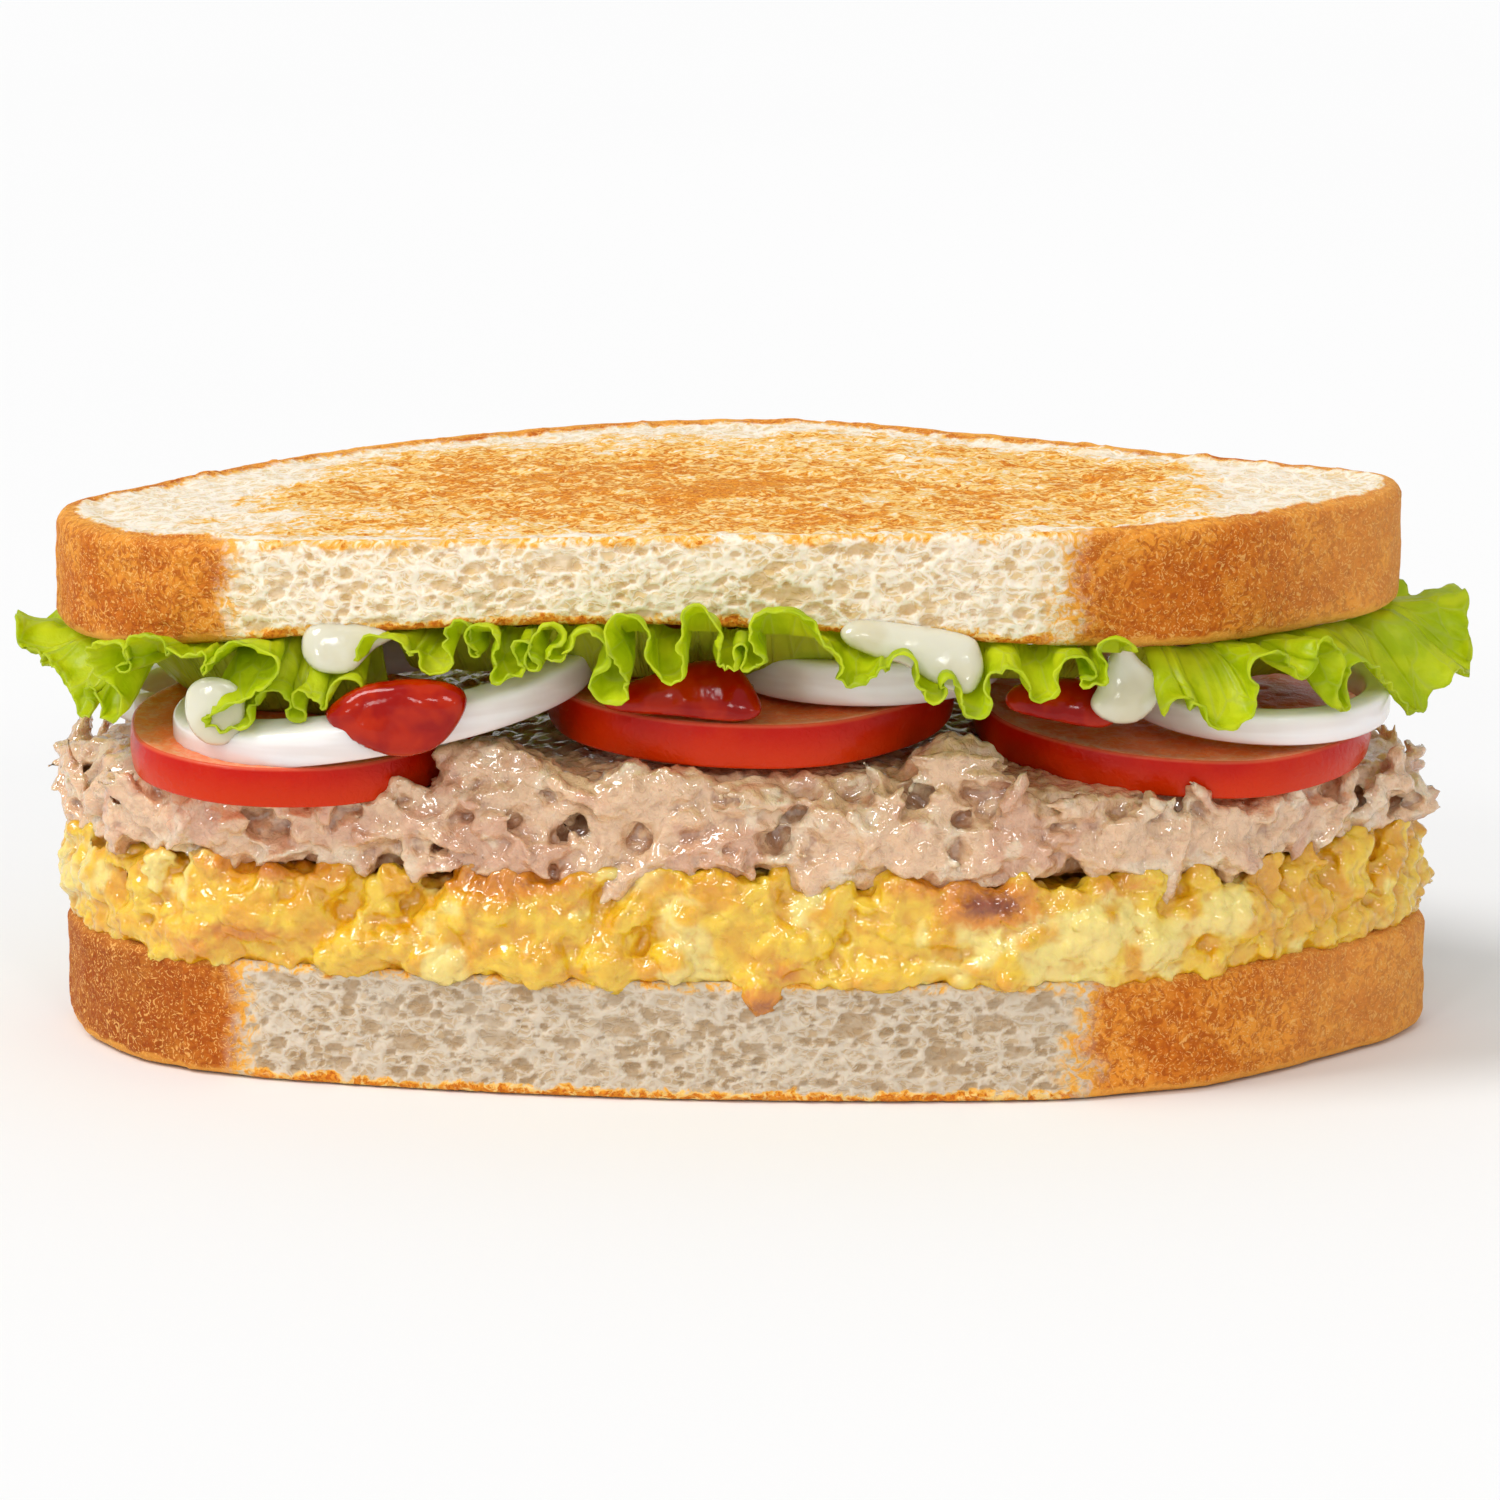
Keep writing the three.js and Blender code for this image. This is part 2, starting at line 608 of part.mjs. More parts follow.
function dropSolid({ at, radii, lean }, grow = 0) {
  const geometry = new THREE.SphereGeometry(1, 11, 6);
  geometry.scale(...radii.map((radius) => radius + grow));
  geometry.rotateY(degrees(lean));
  geometry.translate(...at);
  return solidFrom(geometry);
}

// Assembly: each softer piece gives way to the firmer ones that press into it.
const group = new THREE.Group();

function addPiece(name, solid, { color, roughness }) {
  const material = new THREE.MeshStandardMaterial({ color, roughness, metalness: 0 });
  const mesh = new THREE.Mesh(geometryOf(solid), material);
  mesh.name = name;
  group.add(mesh);
}

const lowerSliceRoom = breadSolid(LOWER_SLICE, GAP);
const upperSliceRoom = breadSolid(UPPER_SLICE, GAP);
const tunaRoom = heapSolid(TUNA, GAP);
const leafRooms = LEAVES.map((leaf) => leafSolid(leaf, GAP).add(leafSolid(leaf)));
const onionRooms = ONIONS.map((onion) => onionSolid(onion, GAP));
const tomatoRooms = TOMATOES.map((tomato) => tomatoSolid(tomato, GAP));

addPiece("bottom_bread", breadSolid(LOWER_SLICE), LOOKS.crust);
addPiece("egg", carve(heapSolid(EGG), [lowerSliceRoom, tunaRoom]), LOOKS.egg);
addPiece("tuna", carve(heapSolid(TUNA), [...tomatoRooms, ...onionRooms, ...leafRooms]), LOOKS.tuna);
for (const tomato of TOMATOES) {
  addPiece(tomato.name, carve(tomatoSolid(tomato), [...onionRooms, ...leafRooms]), LOOKS.tomato);
}
for (const onion of ONIONS) {
  addPiece(onion.name, carve(onionSolid(onion), leafRooms), LOOKS.onion);
}
for (const leaf of LEAVES) {
  addPiece(leaf.name, carve(leafSolid(leaf), [upperSliceRoom]), LOOKS.lettuce);
}
const dropNeighbours = [...leafRooms, ...onionRooms, ...tomatoRooms, upperSliceRoom, tunaRoom];
for (const drop of DROPS) {
  addPiece(drop.name, carve(dropSolid(drop), dropNeighbours), LOOKS[drop.name.split("_")[0]]);
  dropNeighbours.push(dropSolid(drop, GAP));
}
addPiece("top_bread", breadSolid(UPPER_SLICE), LOOKS.crust);

export default group;
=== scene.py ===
# The looks of a toasted tuna and egg sandwich: every layer rebuilt finely in mesh code,
# in place of its plain solid, with its own procedural material.
# Shapes are worked out in millimetres and written in metres.
import math

import bmesh
import bpy
import numpy as np
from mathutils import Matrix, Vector
from mathutils.geometry import delaunay_2d_cdt


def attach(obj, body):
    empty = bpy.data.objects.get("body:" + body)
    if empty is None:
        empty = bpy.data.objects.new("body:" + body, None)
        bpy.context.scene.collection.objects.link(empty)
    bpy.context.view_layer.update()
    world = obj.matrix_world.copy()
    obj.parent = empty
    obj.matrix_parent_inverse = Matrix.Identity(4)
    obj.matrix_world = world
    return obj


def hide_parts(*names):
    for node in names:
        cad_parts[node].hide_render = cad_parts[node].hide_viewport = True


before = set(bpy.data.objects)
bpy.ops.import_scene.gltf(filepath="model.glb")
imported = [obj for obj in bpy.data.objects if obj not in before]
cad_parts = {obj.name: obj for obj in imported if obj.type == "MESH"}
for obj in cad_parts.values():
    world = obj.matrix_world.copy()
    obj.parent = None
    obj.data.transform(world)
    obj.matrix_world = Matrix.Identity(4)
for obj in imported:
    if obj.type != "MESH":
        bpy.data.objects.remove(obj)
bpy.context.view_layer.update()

MM = 0.001

# Driving dimensions, in millimetres, as in the solids: the layers' heights and the slice's plan.
LOWER_TOP = 14.3
TUNA_TOP_MIDDLE = 39
TUNA_TOP_ENDS = 33
TUNA_RISE_TO_BACK = 0.05
UPPER_UNDERSIDE_ENDS = 51.2
UPPER_UNDERSIDE_ARCH = 6.2
UPPER_UNDERSIDE_CREST = -18
UPPER_TOP_ENDS = 66.1
UPPER_TOP_ARCH = 1.6
UPPER_FALL_TO_BACK = 0.02
UPPER_NARROWING = 0.98

# The plan's corners: x, y and how far from each the rim starts to bend.
PLAN_CORNERS = [
    (-72, -24, 8.5), (52, -31, 17), (82.5, -12, 9), (82, 3, 5.8),
    (0, 52, 26), (-52, 37, 18), (-85, 4, 8), (-82.5, -12, 7),
]
PLAN_POINTS = 368
FRONT_BOW = 13
HALF_WIDTH = 84

# The cut front shows crumb between these shares of the way round the rim, and crust beyond.
CRUMB_FROM = 0.0486
CRUMB_TO = 0.3035

# Rows of points up a slice's wall, and how far each ring of its faces lies inside the one before.
WALL_ROWS = 38
FACE_RINGS = (0.45, 0.8, 1.1)

# The camera: its height above the horizon in degrees, its distance and the point it looks at.
CAMERA_ELEVATION = 13
CAMERA_DISTANCE = 800
CAMERA_TARGET = (0, 0, 33)
CAMERA_LENS = 156.5

# The lights, a wide one and weak ones that make the wet fillings glint: where each stands as seen
# from the sandwich, how strong it is and how wide in degrees.
LIGHTS = {
    "window": ((-0.6, -0.2, 0.77), 1.42, 20),
    "glints_1": ((-0.45, -1, 0.7), 0.24, 9),
    "glints_2": ((0.35, -1, 0.5), 0.24, 9),
    "glints_3": ((-0.1, -1, 1.1), 0.24, 9),
    "glints_4": ((-0.9, -1, 0.35), 0.24, 9),
}
WORLD_LIGHT = 0.6


# Numbers


def smoothstep(value, low, high):
    """0 up to low, 1 from high on, and a smooth slope between them."""
    share = np.clip((value - low) / (high - low), 0, 1)
    return share * share * (3 - 2 * share)


def lattice(x, y, z, seed):
    """A repeatable number from 0 to 1 for each whole-numbered place."""
    mixed = (x * 374761393 + y * 668265263 + z * 1103515245 + seed * 974711) & 0xFFFFFFFF
    mixed = ((mixed ^ (mixed >> 13)) * 1274126177) & 0xFFFFFFFF
    return (mixed ^ (mixed >> 16)) / 4294967295


def noise(points, size, seed):
    """Smooth noise from -1 to 1 that changes over about the given size."""
    scaled = points / size
    cell = np.floor(scaled).astype(np.int64)
    part = scaled - cell
    fade = part**3 * (part * (part * 6 - 15) + 10)
    total = np.zeros(len(points))
    for corner in range(8):
        step = np.array([corner & 1, corner >> 1 & 1, corner >> 2 & 1])
        weight = np.prod(np.where(step == 1, fade, 1 - fade), axis=1)
        total += weight * lattice(*(cell + step).T, seed)
    return 2 * total - 1


def noises(points, *layers):
    """Noises added up, each given as (depth, size, seed)."""
    return sum(depth * noise(points, size, seed) for depth, size, seed in layers)


def knobs(points, size, seed):
    """Rounded knobs that fill space, from 0 in the creases between them to 1 on their tops."""
    scaled = points / size
    cell = np.floor(scaled).astype(np.int64)
    nearest = np.full(len(points), 9.0)
    second = np.full(len(points), 9.0)
    for step in np.ndindex(3, 3, 3):
        near = cell + np.array(step) - 1
        spot = np.stack([lattice(*near.T, seed + k) for k in range(3)], axis=1)
        distance = np.linalg.norm(near + spot - scaled, axis=1)
        second = np.minimum(second, np.maximum(nearest, distance))
        nearest = np.minimum(nearest, distance)
    return np.clip(second - nearest, 0, 1)


def turned(points, heading=0.0, tilt=0.0, roll=0.0):
    """Points turned by roll about X, then tilt about Y, then heading about Z, in radians."""
    cr, sr = math.cos(roll), math.sin(roll)
    ct, st = math.cos(tilt), math.sin(tilt)
    ch, sh = math.cos(heading), math.sin(heading)
    about_x = np.array([[1, 0, 0], [0, cr, -sr], [0, sr, cr]])
    about_y = np.array([[ct, 0, st], [0, 1, 0], [-st, 0, ct]])
    about_z = np.array([[ch, -sh, 0], [sh, ch, 0], [0, 0, 1]])
    return points @ (about_z @ about_y @ about_x).T


# The slice's plan


def reach_along(points):
    """How far along a line each of its points lies."""
    return np.concatenate([[0], np.cumsum(np.linalg.norm(np.diff(points, axis=0), axis=1))])


def plan_outline():
    """The slice's rim as evenly spaced points, anticlockwise from the front left corner."""
    corners = np.array([c[:2] for c in PLAN_CORNERS], float)
    bend = np.linspace(0, 1, 60)[:, None]
    parts = []
    for i, (corner, (_, _, round_by)) in enumerate(zip(corners, PLAN_CORNERS)):
        before = corners[i - 1] - corner
        after = corners[(i + 1) % len(corners)] - corner
        start = corner + before / np.linalg.norm(before) * round_by
        end = corner + after / np.linalg.norm(after) * round_by
        parts.append((1 - bend) ** 2 * start + 2 * bend * (1 - bend) * corner + bend**2 * end)
    dense = np.concatenate([*parts, parts[0][:1]])
    reach = reach_along(dense)
    even = np.linspace(0, reach[-1], PLAN_POINTS, endpoint=False)
    x, y = [np.interp(even, reach, column) for column in dense.T]
    bow = FRONT_BOW * np.maximum(0, 1 - (x / HALF_WIDTH) ** 2) * smoothstep(-y, 0, 28)
    return np.stack([x, y - bow], axis=1)


OUTLINE = plan_outline()
PERIMETER = np.linalg.norm(np.roll(OUTLINE, -1, axis=0) - OUTLINE, axis=1).sum()


def rim(share, outwards=0.0):
    """Points of the plan at shares of the way round, moved outwards, and the outward directions."""
    place = (np.asarray(share, float) % 1) * PLAN_POINTS
    index = np.floor(place).astype(int)
    part = (place - index)[..., None]

    def ahead(steps):
        first = OUTLINE[(index + steps) % PLAN_POINTS]
        return first * (1 - part) + OUTLINE[(index + steps + 1) % PLAN_POINTS] * part

    along = ahead(6) - ahead(-6)
    along /= np.linalg.norm(along, axis=-1, keepdims=True)
    outward = np.stack([along[..., 1], -along[..., 0]], axis=-1)
    return ahead(0) + outward * np.asarray(outwards)[..., None], outward


# The front rim: shares of the way round, and the x and y there.
FRONT_SHARES = np.linspace(0.01, 0.42, 300)
FRONT_X, FRONT_Y = rim(FRONT_SHARES)[0].T


def front_share(x):
    """The share of the way round at which the front rim passes x."""
    return float(np.interp(x, FRONT_X, FRONT_SHARES))


def rim_distance(spots):
    """How far inside the rim each place of the plan lies."""
    gaps = spots[:, None, :] - OUTLINE[None, ::2, :]
    return np.sqrt((gaps**2).sum(axis=2).min(axis=1))


def arch(x):
    return np.cos(np.pi * x / 192) ** 2


def tuna_top(x, y):
    rise = TUNA_RISE_TO_BACK * (y - PLAN_CORNERS[1][1])
    return TUNA_TOP_ENDS + (TUNA_TOP_MIDDLE - TUNA_TOP_ENDS) * arch(x) + rise


def fall_to_back(y):
    return UPPER_FALL_TO_BACK * (y + 38)


def upper_underside(x, y):
    rise = UPPER_UNDERSIDE_ARCH * arch(x - UPPER_UNDERSIDE_CREST)
    return UPPER_UNDERSIDE_ENDS + rise + 0.028 * x - fall_to_back(y)


def upper_top(x, y):
    return UPPER_TOP_ENDS + UPPER_TOP_ARCH * arch(x) + 0.022 * x - fall_to_back(y)


# Meshes


def new_mesh(name, points, faces):
    mesh = bpy.data.meshes.new(name)
    mesh.from_pydata((np.asarray(points) * MM).tolist(), [], np.asarray(faces).tolist())
    mesh.update()
    mesh.shade_smooth()
    return mesh


def add_piece(name, mesh, material, slot, *nodes):
    """A piece of the sandwich that stands for the named solids."""
    piece = bpy.data.objects.new(name, mesh)
    bpy.context.scene.collection.objects.link(piece)
    mesh.materials.clear()
    mesh.materials.append(material)
    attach(piece, "root")
    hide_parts(*nodes)
    return piece


def paint(mesh, name, red, green=0.0, blue=0.0):
    """Three masks over the mesh's points, for its material to read."""
    colours = np.ones((len(mesh.vertices), 4))
    for channel, values in enumerate((red, green, blue)):
        colours[:, channel] = values
    layer = mesh.color_attributes.new(name, "FLOAT_COLOR", "POINT")
    layer.data.foreach_set("color", colours.ravel())


def read(items, key, width, kind=float):
    """One property of every part of a mesh, in rows of so many numbers."""
    values = np.empty(len(items) * width, kind)
    items.foreach_get(key, values)
    return values.reshape(-1, width)


def mesh_points(mesh):
    return read(mesh.vertices, "co", 3) / MM


def set_points(mesh, points):
    mesh.vertices.foreach_set("co", (points * MM).ravel())
    mesh.update()


def point_normals(mesh):
    return read(mesh.vertex_normals, "vector", 3)


def mesh_edges(mesh):
    return read(mesh.edges, "vertices", 2, int)


def mesh_corners(mesh):
    """The number of the point at each corner of each face, in order."""
    return read(mesh.loops, "vertex_index", 1, int).ravel()


def evened(values, edges, times):
    """Values at the points of a mesh, drawn towards those of their neighbours."""
    count = len(values)
    first, second = edges.T
    neighbours = np.maximum(np.bincount(edges.ravel(), minlength=count), 1)[:, None]
    for _ in range(times):
        columns = [
            np.bincount(first, values[second, k], count) + np.bincount(second, values[first, k], count)
            for k in range(values.shape[1])
        ]
        values = values + 0.5 * (np.stack(columns, axis=1) / neighbours - values)
    return values


def modified(mesh, kind, **settings):
    """A new mesh: the given one with a modifier applied."""
    holder = bpy.data.objects.new("holder", mesh)
    bpy.context.scene.collection.objects.link(holder)
    modifier = holder.modifiers.new(kind, kind)
    for key, value in settings.items():
        setattr(modifier, key, value)
    ready = holder.evaluated_get(bpy.context.evaluated_depsgraph_get())
    result = bpy.data.meshes.new_from_object(ready)
    bpy.data.objects.remove(holder)
    bpy.data.meshes.remove(mesh)
    return result


def one_skin(name, shapes, voxel, smoothing):
    """One closed skin round overlapping closed shapes, its corners softened."""
    points = np.concatenate([p for p, _ in shapes])
    starts = np.cumsum([0, *[len(p) for p, _ in shapes[:-1]]])
    faces = np.concatenate([f + start for (_, f), start in zip(shapes, starts)])
    mesh = modified(new_mesh(name, points, faces), "REMESH", mode="VOXEL", voxel_size=voxel * MM)
    mesh = largest_part(name, mesh)
    set_points(mesh, evened(mesh_points(mesh), mesh_edges(mesh), smoothing))
    return mesh


def largest_part(name, mesh):
    """Only the largest of a mesh's separate skins, its faces all with four corners."""
    points, edges = mesh_points(mesh), mesh_edges(mesh)
    faces = mesh_corners(mesh).reshape(-1, 4)
    label = np.arange(len(points))
    while True:
        least = label[edges].min(axis=1)
        drawn = label.copy()
        np.minimum.at(drawn, edges.ravel(), np.repeat(least, 2))
        drawn = drawn[drawn]
        if (drawn == label).all():
            break
        label = drawn
    kept = label == np.bincount(label).argmax()
    renumbered = np.cumsum(kept) - 1
    bpy.data.meshes.remove(mesh)
    return new_mesh(name, points[kept], renumbered[faces[kept[faces[:, 0]]]])


def thinned(mesh, triangles):
    """The mesh with no more than so many triangles, fewest where it is flat."""
    mesh.calc_loop_triangles()
    share = triangles / len(mesh.loop_triangles)
    if share >= 1:
        return mesh
    mesh = modified(mesh, "DECIMATE", ratio=share)
    mesh.shade_smooth()
    return mesh


def unit_ball(subdivisions):
    shape = bmesh.new()
    bmesh.ops.create_icosphere(shape, subdivisions=subdivisions, radius=1)
    points = np.array([v.co for v in shape.verts])
    faces = np.array([[v.index for v in f.verts] for f in shape.faces])
    shape.free()
    return points, faces


BALLS = {n: unit_ball(n) for n in (2, 3)}


def node_shape(node):
    """The points and triangles of a solid."""
    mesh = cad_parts[node].data
    mesh.calc_loop_triangles()
    return mesh_points(mesh), read(mesh.loop_triangles, "vertices", 3, int)


def sheet_faces(index):
    """Four-cornered faces between neighbouring rows and columns of point numbers."""
    corners = [index[:-1, :-1], index[:-1, 1:], index[1:, 1:], index[1:, :-1]]
    return np.stack(corners, axis=-1).reshape(-1, 4)


def band_faces(rows, columns, closed=False):
    """Triangles between stacked rings of points, and from the last ring to the first where closed."""
    index = np.arange(rows * columns).reshape(rows, columns)
    quads = sheet_faces(np.pad(index, ((0, int(closed)), (0, 1)), mode="wrap"))
    return np.concatenate([quads[:, [0, 1, 2]], quads[:, [0, 2, 3]]])


def lump(at, radii, heading=0.0, tilt=0.0, roll=0.0, taper=0.0, seed=0, rough=0.3, fine=2):
    """A rough ball, stretched, and narrower towards the ends of its length."""
    points, faces = BALLS[fine]
    wave = noise(points + seed * 7.3, 0.9, seed)
    shape = points * (1 + rough * wave[:, None])
    shape[:, 1:] *= 1 - taper * points[:, :1] ** 2
    return turned(shape * np.array(radii, float), heading, tilt, roll) + np.array(at, float), faces


def spike(at, direction, length, width):
    """A pointed tip that leans in a direction."""
    points, faces = BALLS[2]
    run = (points[:, :1] + 1) / 2
    side = points[:, 1:] * width * (1 - run) ** 0.7
    shape = np.concatenate([run * length, side], axis=1)
    direction = np.array(direction, float) / np.linalg.norm(direction)
    tilt = -math.asin(direction[2])
    heading = math.atan2(direction[1], direction[0])
    return turned(shape, heading, tilt) + np.array(at, float), faces


def rim_place(share, outwards, height):
    """A point near the rim, and the heading of the rim there."""
    at, outward = rim(share, outwards)
    return np.array([*at, height]), math.atan2(outward[0], -outward[1])


def spread(i):
    """Two numbers from 0 to 1 that spread a series of places evenly over a surface."""
    return i * 0.61803 % 1, i * 0.75488 % 1


# Bread


def dents(along, up, pits):
    """How deep each place lies in oval pits of (along, up, length, height, lean, depth)."""
    depth = np.zeros(len(along))
    share = np.zeros(len(along))
    for centre, level, length, height, lean, deep in pits:
        near = np.flatnonzero((abs(along - centre) < length) & (abs(up - level) < length))
        if not len(near):
            continue
        across = along[near] - centre
        above = up[near] - level
        u = (across * math.cos(lean) + above * math.sin(lean)) / length
        v = (above * math.cos(lean) - across * math.sin(lean)) / height
        inside = np.clip(1 - u * u - v * v, 0, 1)
        depth[near] = np.maximum(depth[near], deep * inside**0.5)
        share[near] = np.maximum(share[near], inside)
    return depth, share


def random_pits(random, count, along, up, sizes, flatness, depth):
    """Pits spread over a rectangle: many small ones and a few large ones."""
    length = sizes[0] + (sizes[1] - sizes[0]) * random.random(count) ** 2.2
    columns = [random.uniform(*along, count), random.uniform(*up, count), length]
    columns += [length * random.uniform(*flatness, count), random.normal(0, 0.3, count)]
    return np.stack([*columns, depth * (0.5 + 0.5 * length / sizes[1])], axis=1)


def crumb_web(points, seed):
    """Crumb as wide and as fine cells: how deep each place lies in them, from 0 on a wall to 1."""
    flat = points * np.array([0.58, 0.58, 1.0])
    bent = flat + 0.35 * np.stack([noise(flat, 1.6, seed + k) for k in (40, 41, 42)], axis=1)
    wide = smoothstep(knobs(bent, 2.5, seed + 43), 0.04, 0.42)
    fine = smoothstep(knobs(bent, 1.15, seed + 47), 0.04, 0.5)
    return wide, fine


def wall_columns():
    """Shares of the way round, close together on the crumb and wider on the crust."""
    crumb = np.arange(CRUMB_FROM - 0.018, CRUMB_TO + 0.022, 0.29 / PERIMETER)
    crust = np.arange(crumb[-1] + 0.55 / PERIMETER, crumb[0] + 1 - 0.3 / PERIMETER, 0.7 / PERIMETER)
    return np.concatenate([crumb, crust])


def face_grid(ring, pitch, random):
    """Points spread evenly inside a ring, clear of it."""
    # Every other row is shifted by half a step, which makes triangles with equal sides.
    across, up = [np.arange(-100, 100, step) for step in (pitch, 0.87 * pitch)]
    x, y = np.meshgrid(across, up)
    x = x + pitch / 2 * (np.arange(len(x)) % 2)[:, None]
    spots = np.stack([x.ravel(), y.ravel()], axis=1)
    spots += random.uniform(-0.15, 0.15, spots.shape) * pitch
    angle = np.arctan2(ring[:, 1], ring[:, 0])
    order = np.argsort(angle)
    radius = np.linalg.norm(ring, axis=1)[order]
    limit = np.interp(np.arctan2(spots[:, 1], spots[:, 0]), angle[order], radius, period=2 * np.pi)
    return spots[np.linalg.norm(spots, axis=1) < limit - 0.8 * pitch]


def fill_face(ring, spots):
    """Triangles that fill a ring of points round loose ones, as indices into both together."""
    together = [Vector(p) for p in np.concatenate([ring, spots])]
    made = delaunay_2d_cdt(together, [], [list(range(len(ring)))], 1, 1e-5)
    origin = [ids[0] for ids in made[3]]
    return np.array([[origin[i] for i in face] for face in made[2]])


def toasting(x, y, inside, seed):
    """How brown the toasted face is: most in the middle and towards the front, in cloudy patches."""
    spots = np.stack([x, y, np.zeros_like(x)], axis=1)
    middle = 1 - np.sqrt(((x + 2) / 78) ** 2 + ((y + 8) / 45) ** 2)
    clouds = noises(spots, (0.5, 17, seed), (0.4, 7, seed + 1), (0.35, 3.4, seed + 2))
    ends = smoothstep(abs(x), 44, 72)
    amount = 0.33 + 0.74 * middle + 0.5 * clouds - 0.72 * ends
    rim_line = 0.4 * (1 - smoothstep(inside, 0.3, 2.4)) * smoothstep(y, -30, -20)
    amount -= 0.4 * (1 - smoothstep(inside, 0.8, 4)) * smoothstep(-y, 25, 32)
    pale_rim = 0.5 * smoothstep(inside, 0.5, 2) * (1 - smoothstep(inside, 3, 12)) * smoothstep(y, -25, 5)
    return np.clip(amount + rim_line - pale_rim, 0, 1)


def wall_profile(bottom, top, round_by):
    """Rows of the wall, from the lower edge to the upper: how far in, which way up, how high."""
    arc = np.radians(np.linspace(-90, 0, 6))[:-1]
    facing = np.concatenate([arc, np.zeros(WALL_ROWS), -arc[::-1]])
    level = np.concatenate([0 * arc, np.linspace(0, 1, WALL_ROWS), 0 * arc + 1])[:, None]
    inwards = -round_by * (1 - np.cos(facing[:, None]))
    height = bottom + round_by * (1 + np.sin(facing[:, None])) + (top - bottom - 2 * round_by) * level
    return inwards, facing, height


def crumb_relief(flat, along, bottom, top, seed):
    """Relief of the cut crumb, and how deep each place lies in a pore, from 0 to 1, kept as a mask of
    painted shade that also darkens the cells of the web.
    """
    random = np.random.default_rng(seed)
    stretch = (CRUMB_FROM * PERIMETER - 5, CRUMB_TO * PERIMETER + 6)
    levels = (bottom.min() + 1.5, top.max() - 1.5)
    large = random_pits(random, 26, stretch, levels, (1.5, 3.2), (0.34, 0.5), 0.6)
    small = random_pits(random, 430, stretch, levels, (0.45, 1.35), (0.45, 0.75), 0.8)
    depth, pore = dents(along, flat[:, 2], large)
    small_depth, small_pore = dents(along, flat[:, 2], small)
    wide, fine = crumb_web(flat, seed)
    relief = 0.2 - 0.5 * np.maximum(depth, small_depth) - 0.2 * wide - 0.12 * fine
    relief += 0.08 * noise(flat, 0.6, seed + 9)
    # Painted shade: darkest deep in the pores, with more in the middles of the web's cells.
    shade = np.maximum(0.7 * smoothstep(pore, 0.0, 0.3), smoothstep(small_pore, 0.0, 0.6))
    return relief, np.clip(shade + 0.3 * wide, 0, 1)


def crust_relief(flat, along, seed):
    """Soft upright folds, shallow dimples and a fine grain."""
    folds = np.stack([along, np.zeros_like(along), flat[:, 2] * 0.25], axis=1)
    dimples = noises(flat, (0.25, 4.5, seed + 11), (0.14, 1.5, seed + 12))
    return 0.5 * noise(folds, 8, seed + 10) + dimples


def bread_wall(share, at, outward, bottom, top, round_by, seed):
    """The slice's wall of crumb and crust as rows of points, how many rows, and the points' masks."""
    inwards, facing, height = wall_profile(bottom, top, round_by)
    rows = len(facing)
    flat = np.concatenate([at + inwards[..., None] * outward, height[..., None]], axis=2).reshape(-1, 3)
    along = np.tile(share * PERIMETER, rows)
    ragged = noises(flat, (1.0, 3.4, seed + 5), (0.5, 1.2, seed + 6))
    left = smoothstep(along + ragged, CRUMB_FROM * PERIMETER - 5, CRUMB_FROM * PERIMETER + 4.5)
    right = 1 - smoothstep(along + 1.6 * ragged, CRUMB_TO * PERIMETER - 6, CRUMB_TO * PERIMETER + 5)
    shown = left * right
    pitted, pore = crumb_relief(flat, along, bottom, top, seed)
    relief = crust_relief(flat, along, seed) * (1 - shown) + pitted * shown
    slope = np.repeat(facing, len(share))
    out = np.tile(outward, (rows, 1)) * np.cos(slope)[:, None]
    direction = np.concatenate([out, np.sin(slope)[:, None]], axis=1)
    wall = flat + direction * (relief * (1 - 0.7 * abs(np.sin(slope))))[:, None]
    # The masks: where the crust shows, painted shade in the pores of the crumb, and the browned edges.
    return wall, rows, np.stack([1 - shown, pore * shown, edge_toast(flat, bottom, top, rows, seed)], axis=1)


def bread_mesh(name, low, high, seed, underside_pitch, topside_pitch, narrowing=1):
    """A slice: a wall of crumb and crust round two toasted faces."""
    share = wall_columns()
    columns = len(share)
    at, outward = rim(share)
    crumb = smoothstep(share, CRUMB_FROM - 0.01, CRUMB_FROM + 0.006)
    crumb = crumb * (1 - smoothstep(share, CRUMB_TO - 0.012, CRUMB_TO + 0.02))
    round_by = 1.7 - 0.9 * crumb
    wall, rows, mask = bread_wall(share, at, outward, low(*at.T), high(*at.T), round_by, seed)
    points, masks, faces = [wall], [mask], [band_faces(rows, columns)]

    def add(placed, mask):
        """Keeps points of a face with their masks, and gives their numbers."""
        first = sum(len(p) for p in points)
        points.append(placed)
        masks.append(mask)
        return first + np.arange(len(placed))

    # Each face is a few rings inwards, then loose points.
    for level_at, pitch, row, sign in ((low, underside_pitch, 0, -1), (high, topside_pitch, rows - 1, 1)):
        previous = np.arange(columns) + row * columns
        inner = -round_by
        for step in FACE_RINGS:
            inner = inner - step
            ring = at + outward * inner[:, None]
            index = add(*face_points(ring, level_at, sign, -inner - round_by, 1 - crumb, seed))
            faces.append(ring_faces(previous, index, sign))
            previous = index
        spots = face_grid(ring, pitch, np.random.default_rng(seed))
        index = add(*face_points(spots, level_at, sign, rim_distance(spots), np.zeros(len(spots)), seed))
        faces.append(np.concatenate([previous, index])[fill_face(ring, spots)][:, ::sign])
    placed = np.concatenate(points)
    placed[:, 0] = (placed[:, 0] + HALF_WIDTH) * narrowing - HALF_WIDTH
    placed[:, 2] = np.maximum(placed[:, 2], 0)
    mesh = new_mesh(name, placed, np.concatenate(faces))
    paint(mesh, "bread", *np.concatenate(masks).T)
    return mesh


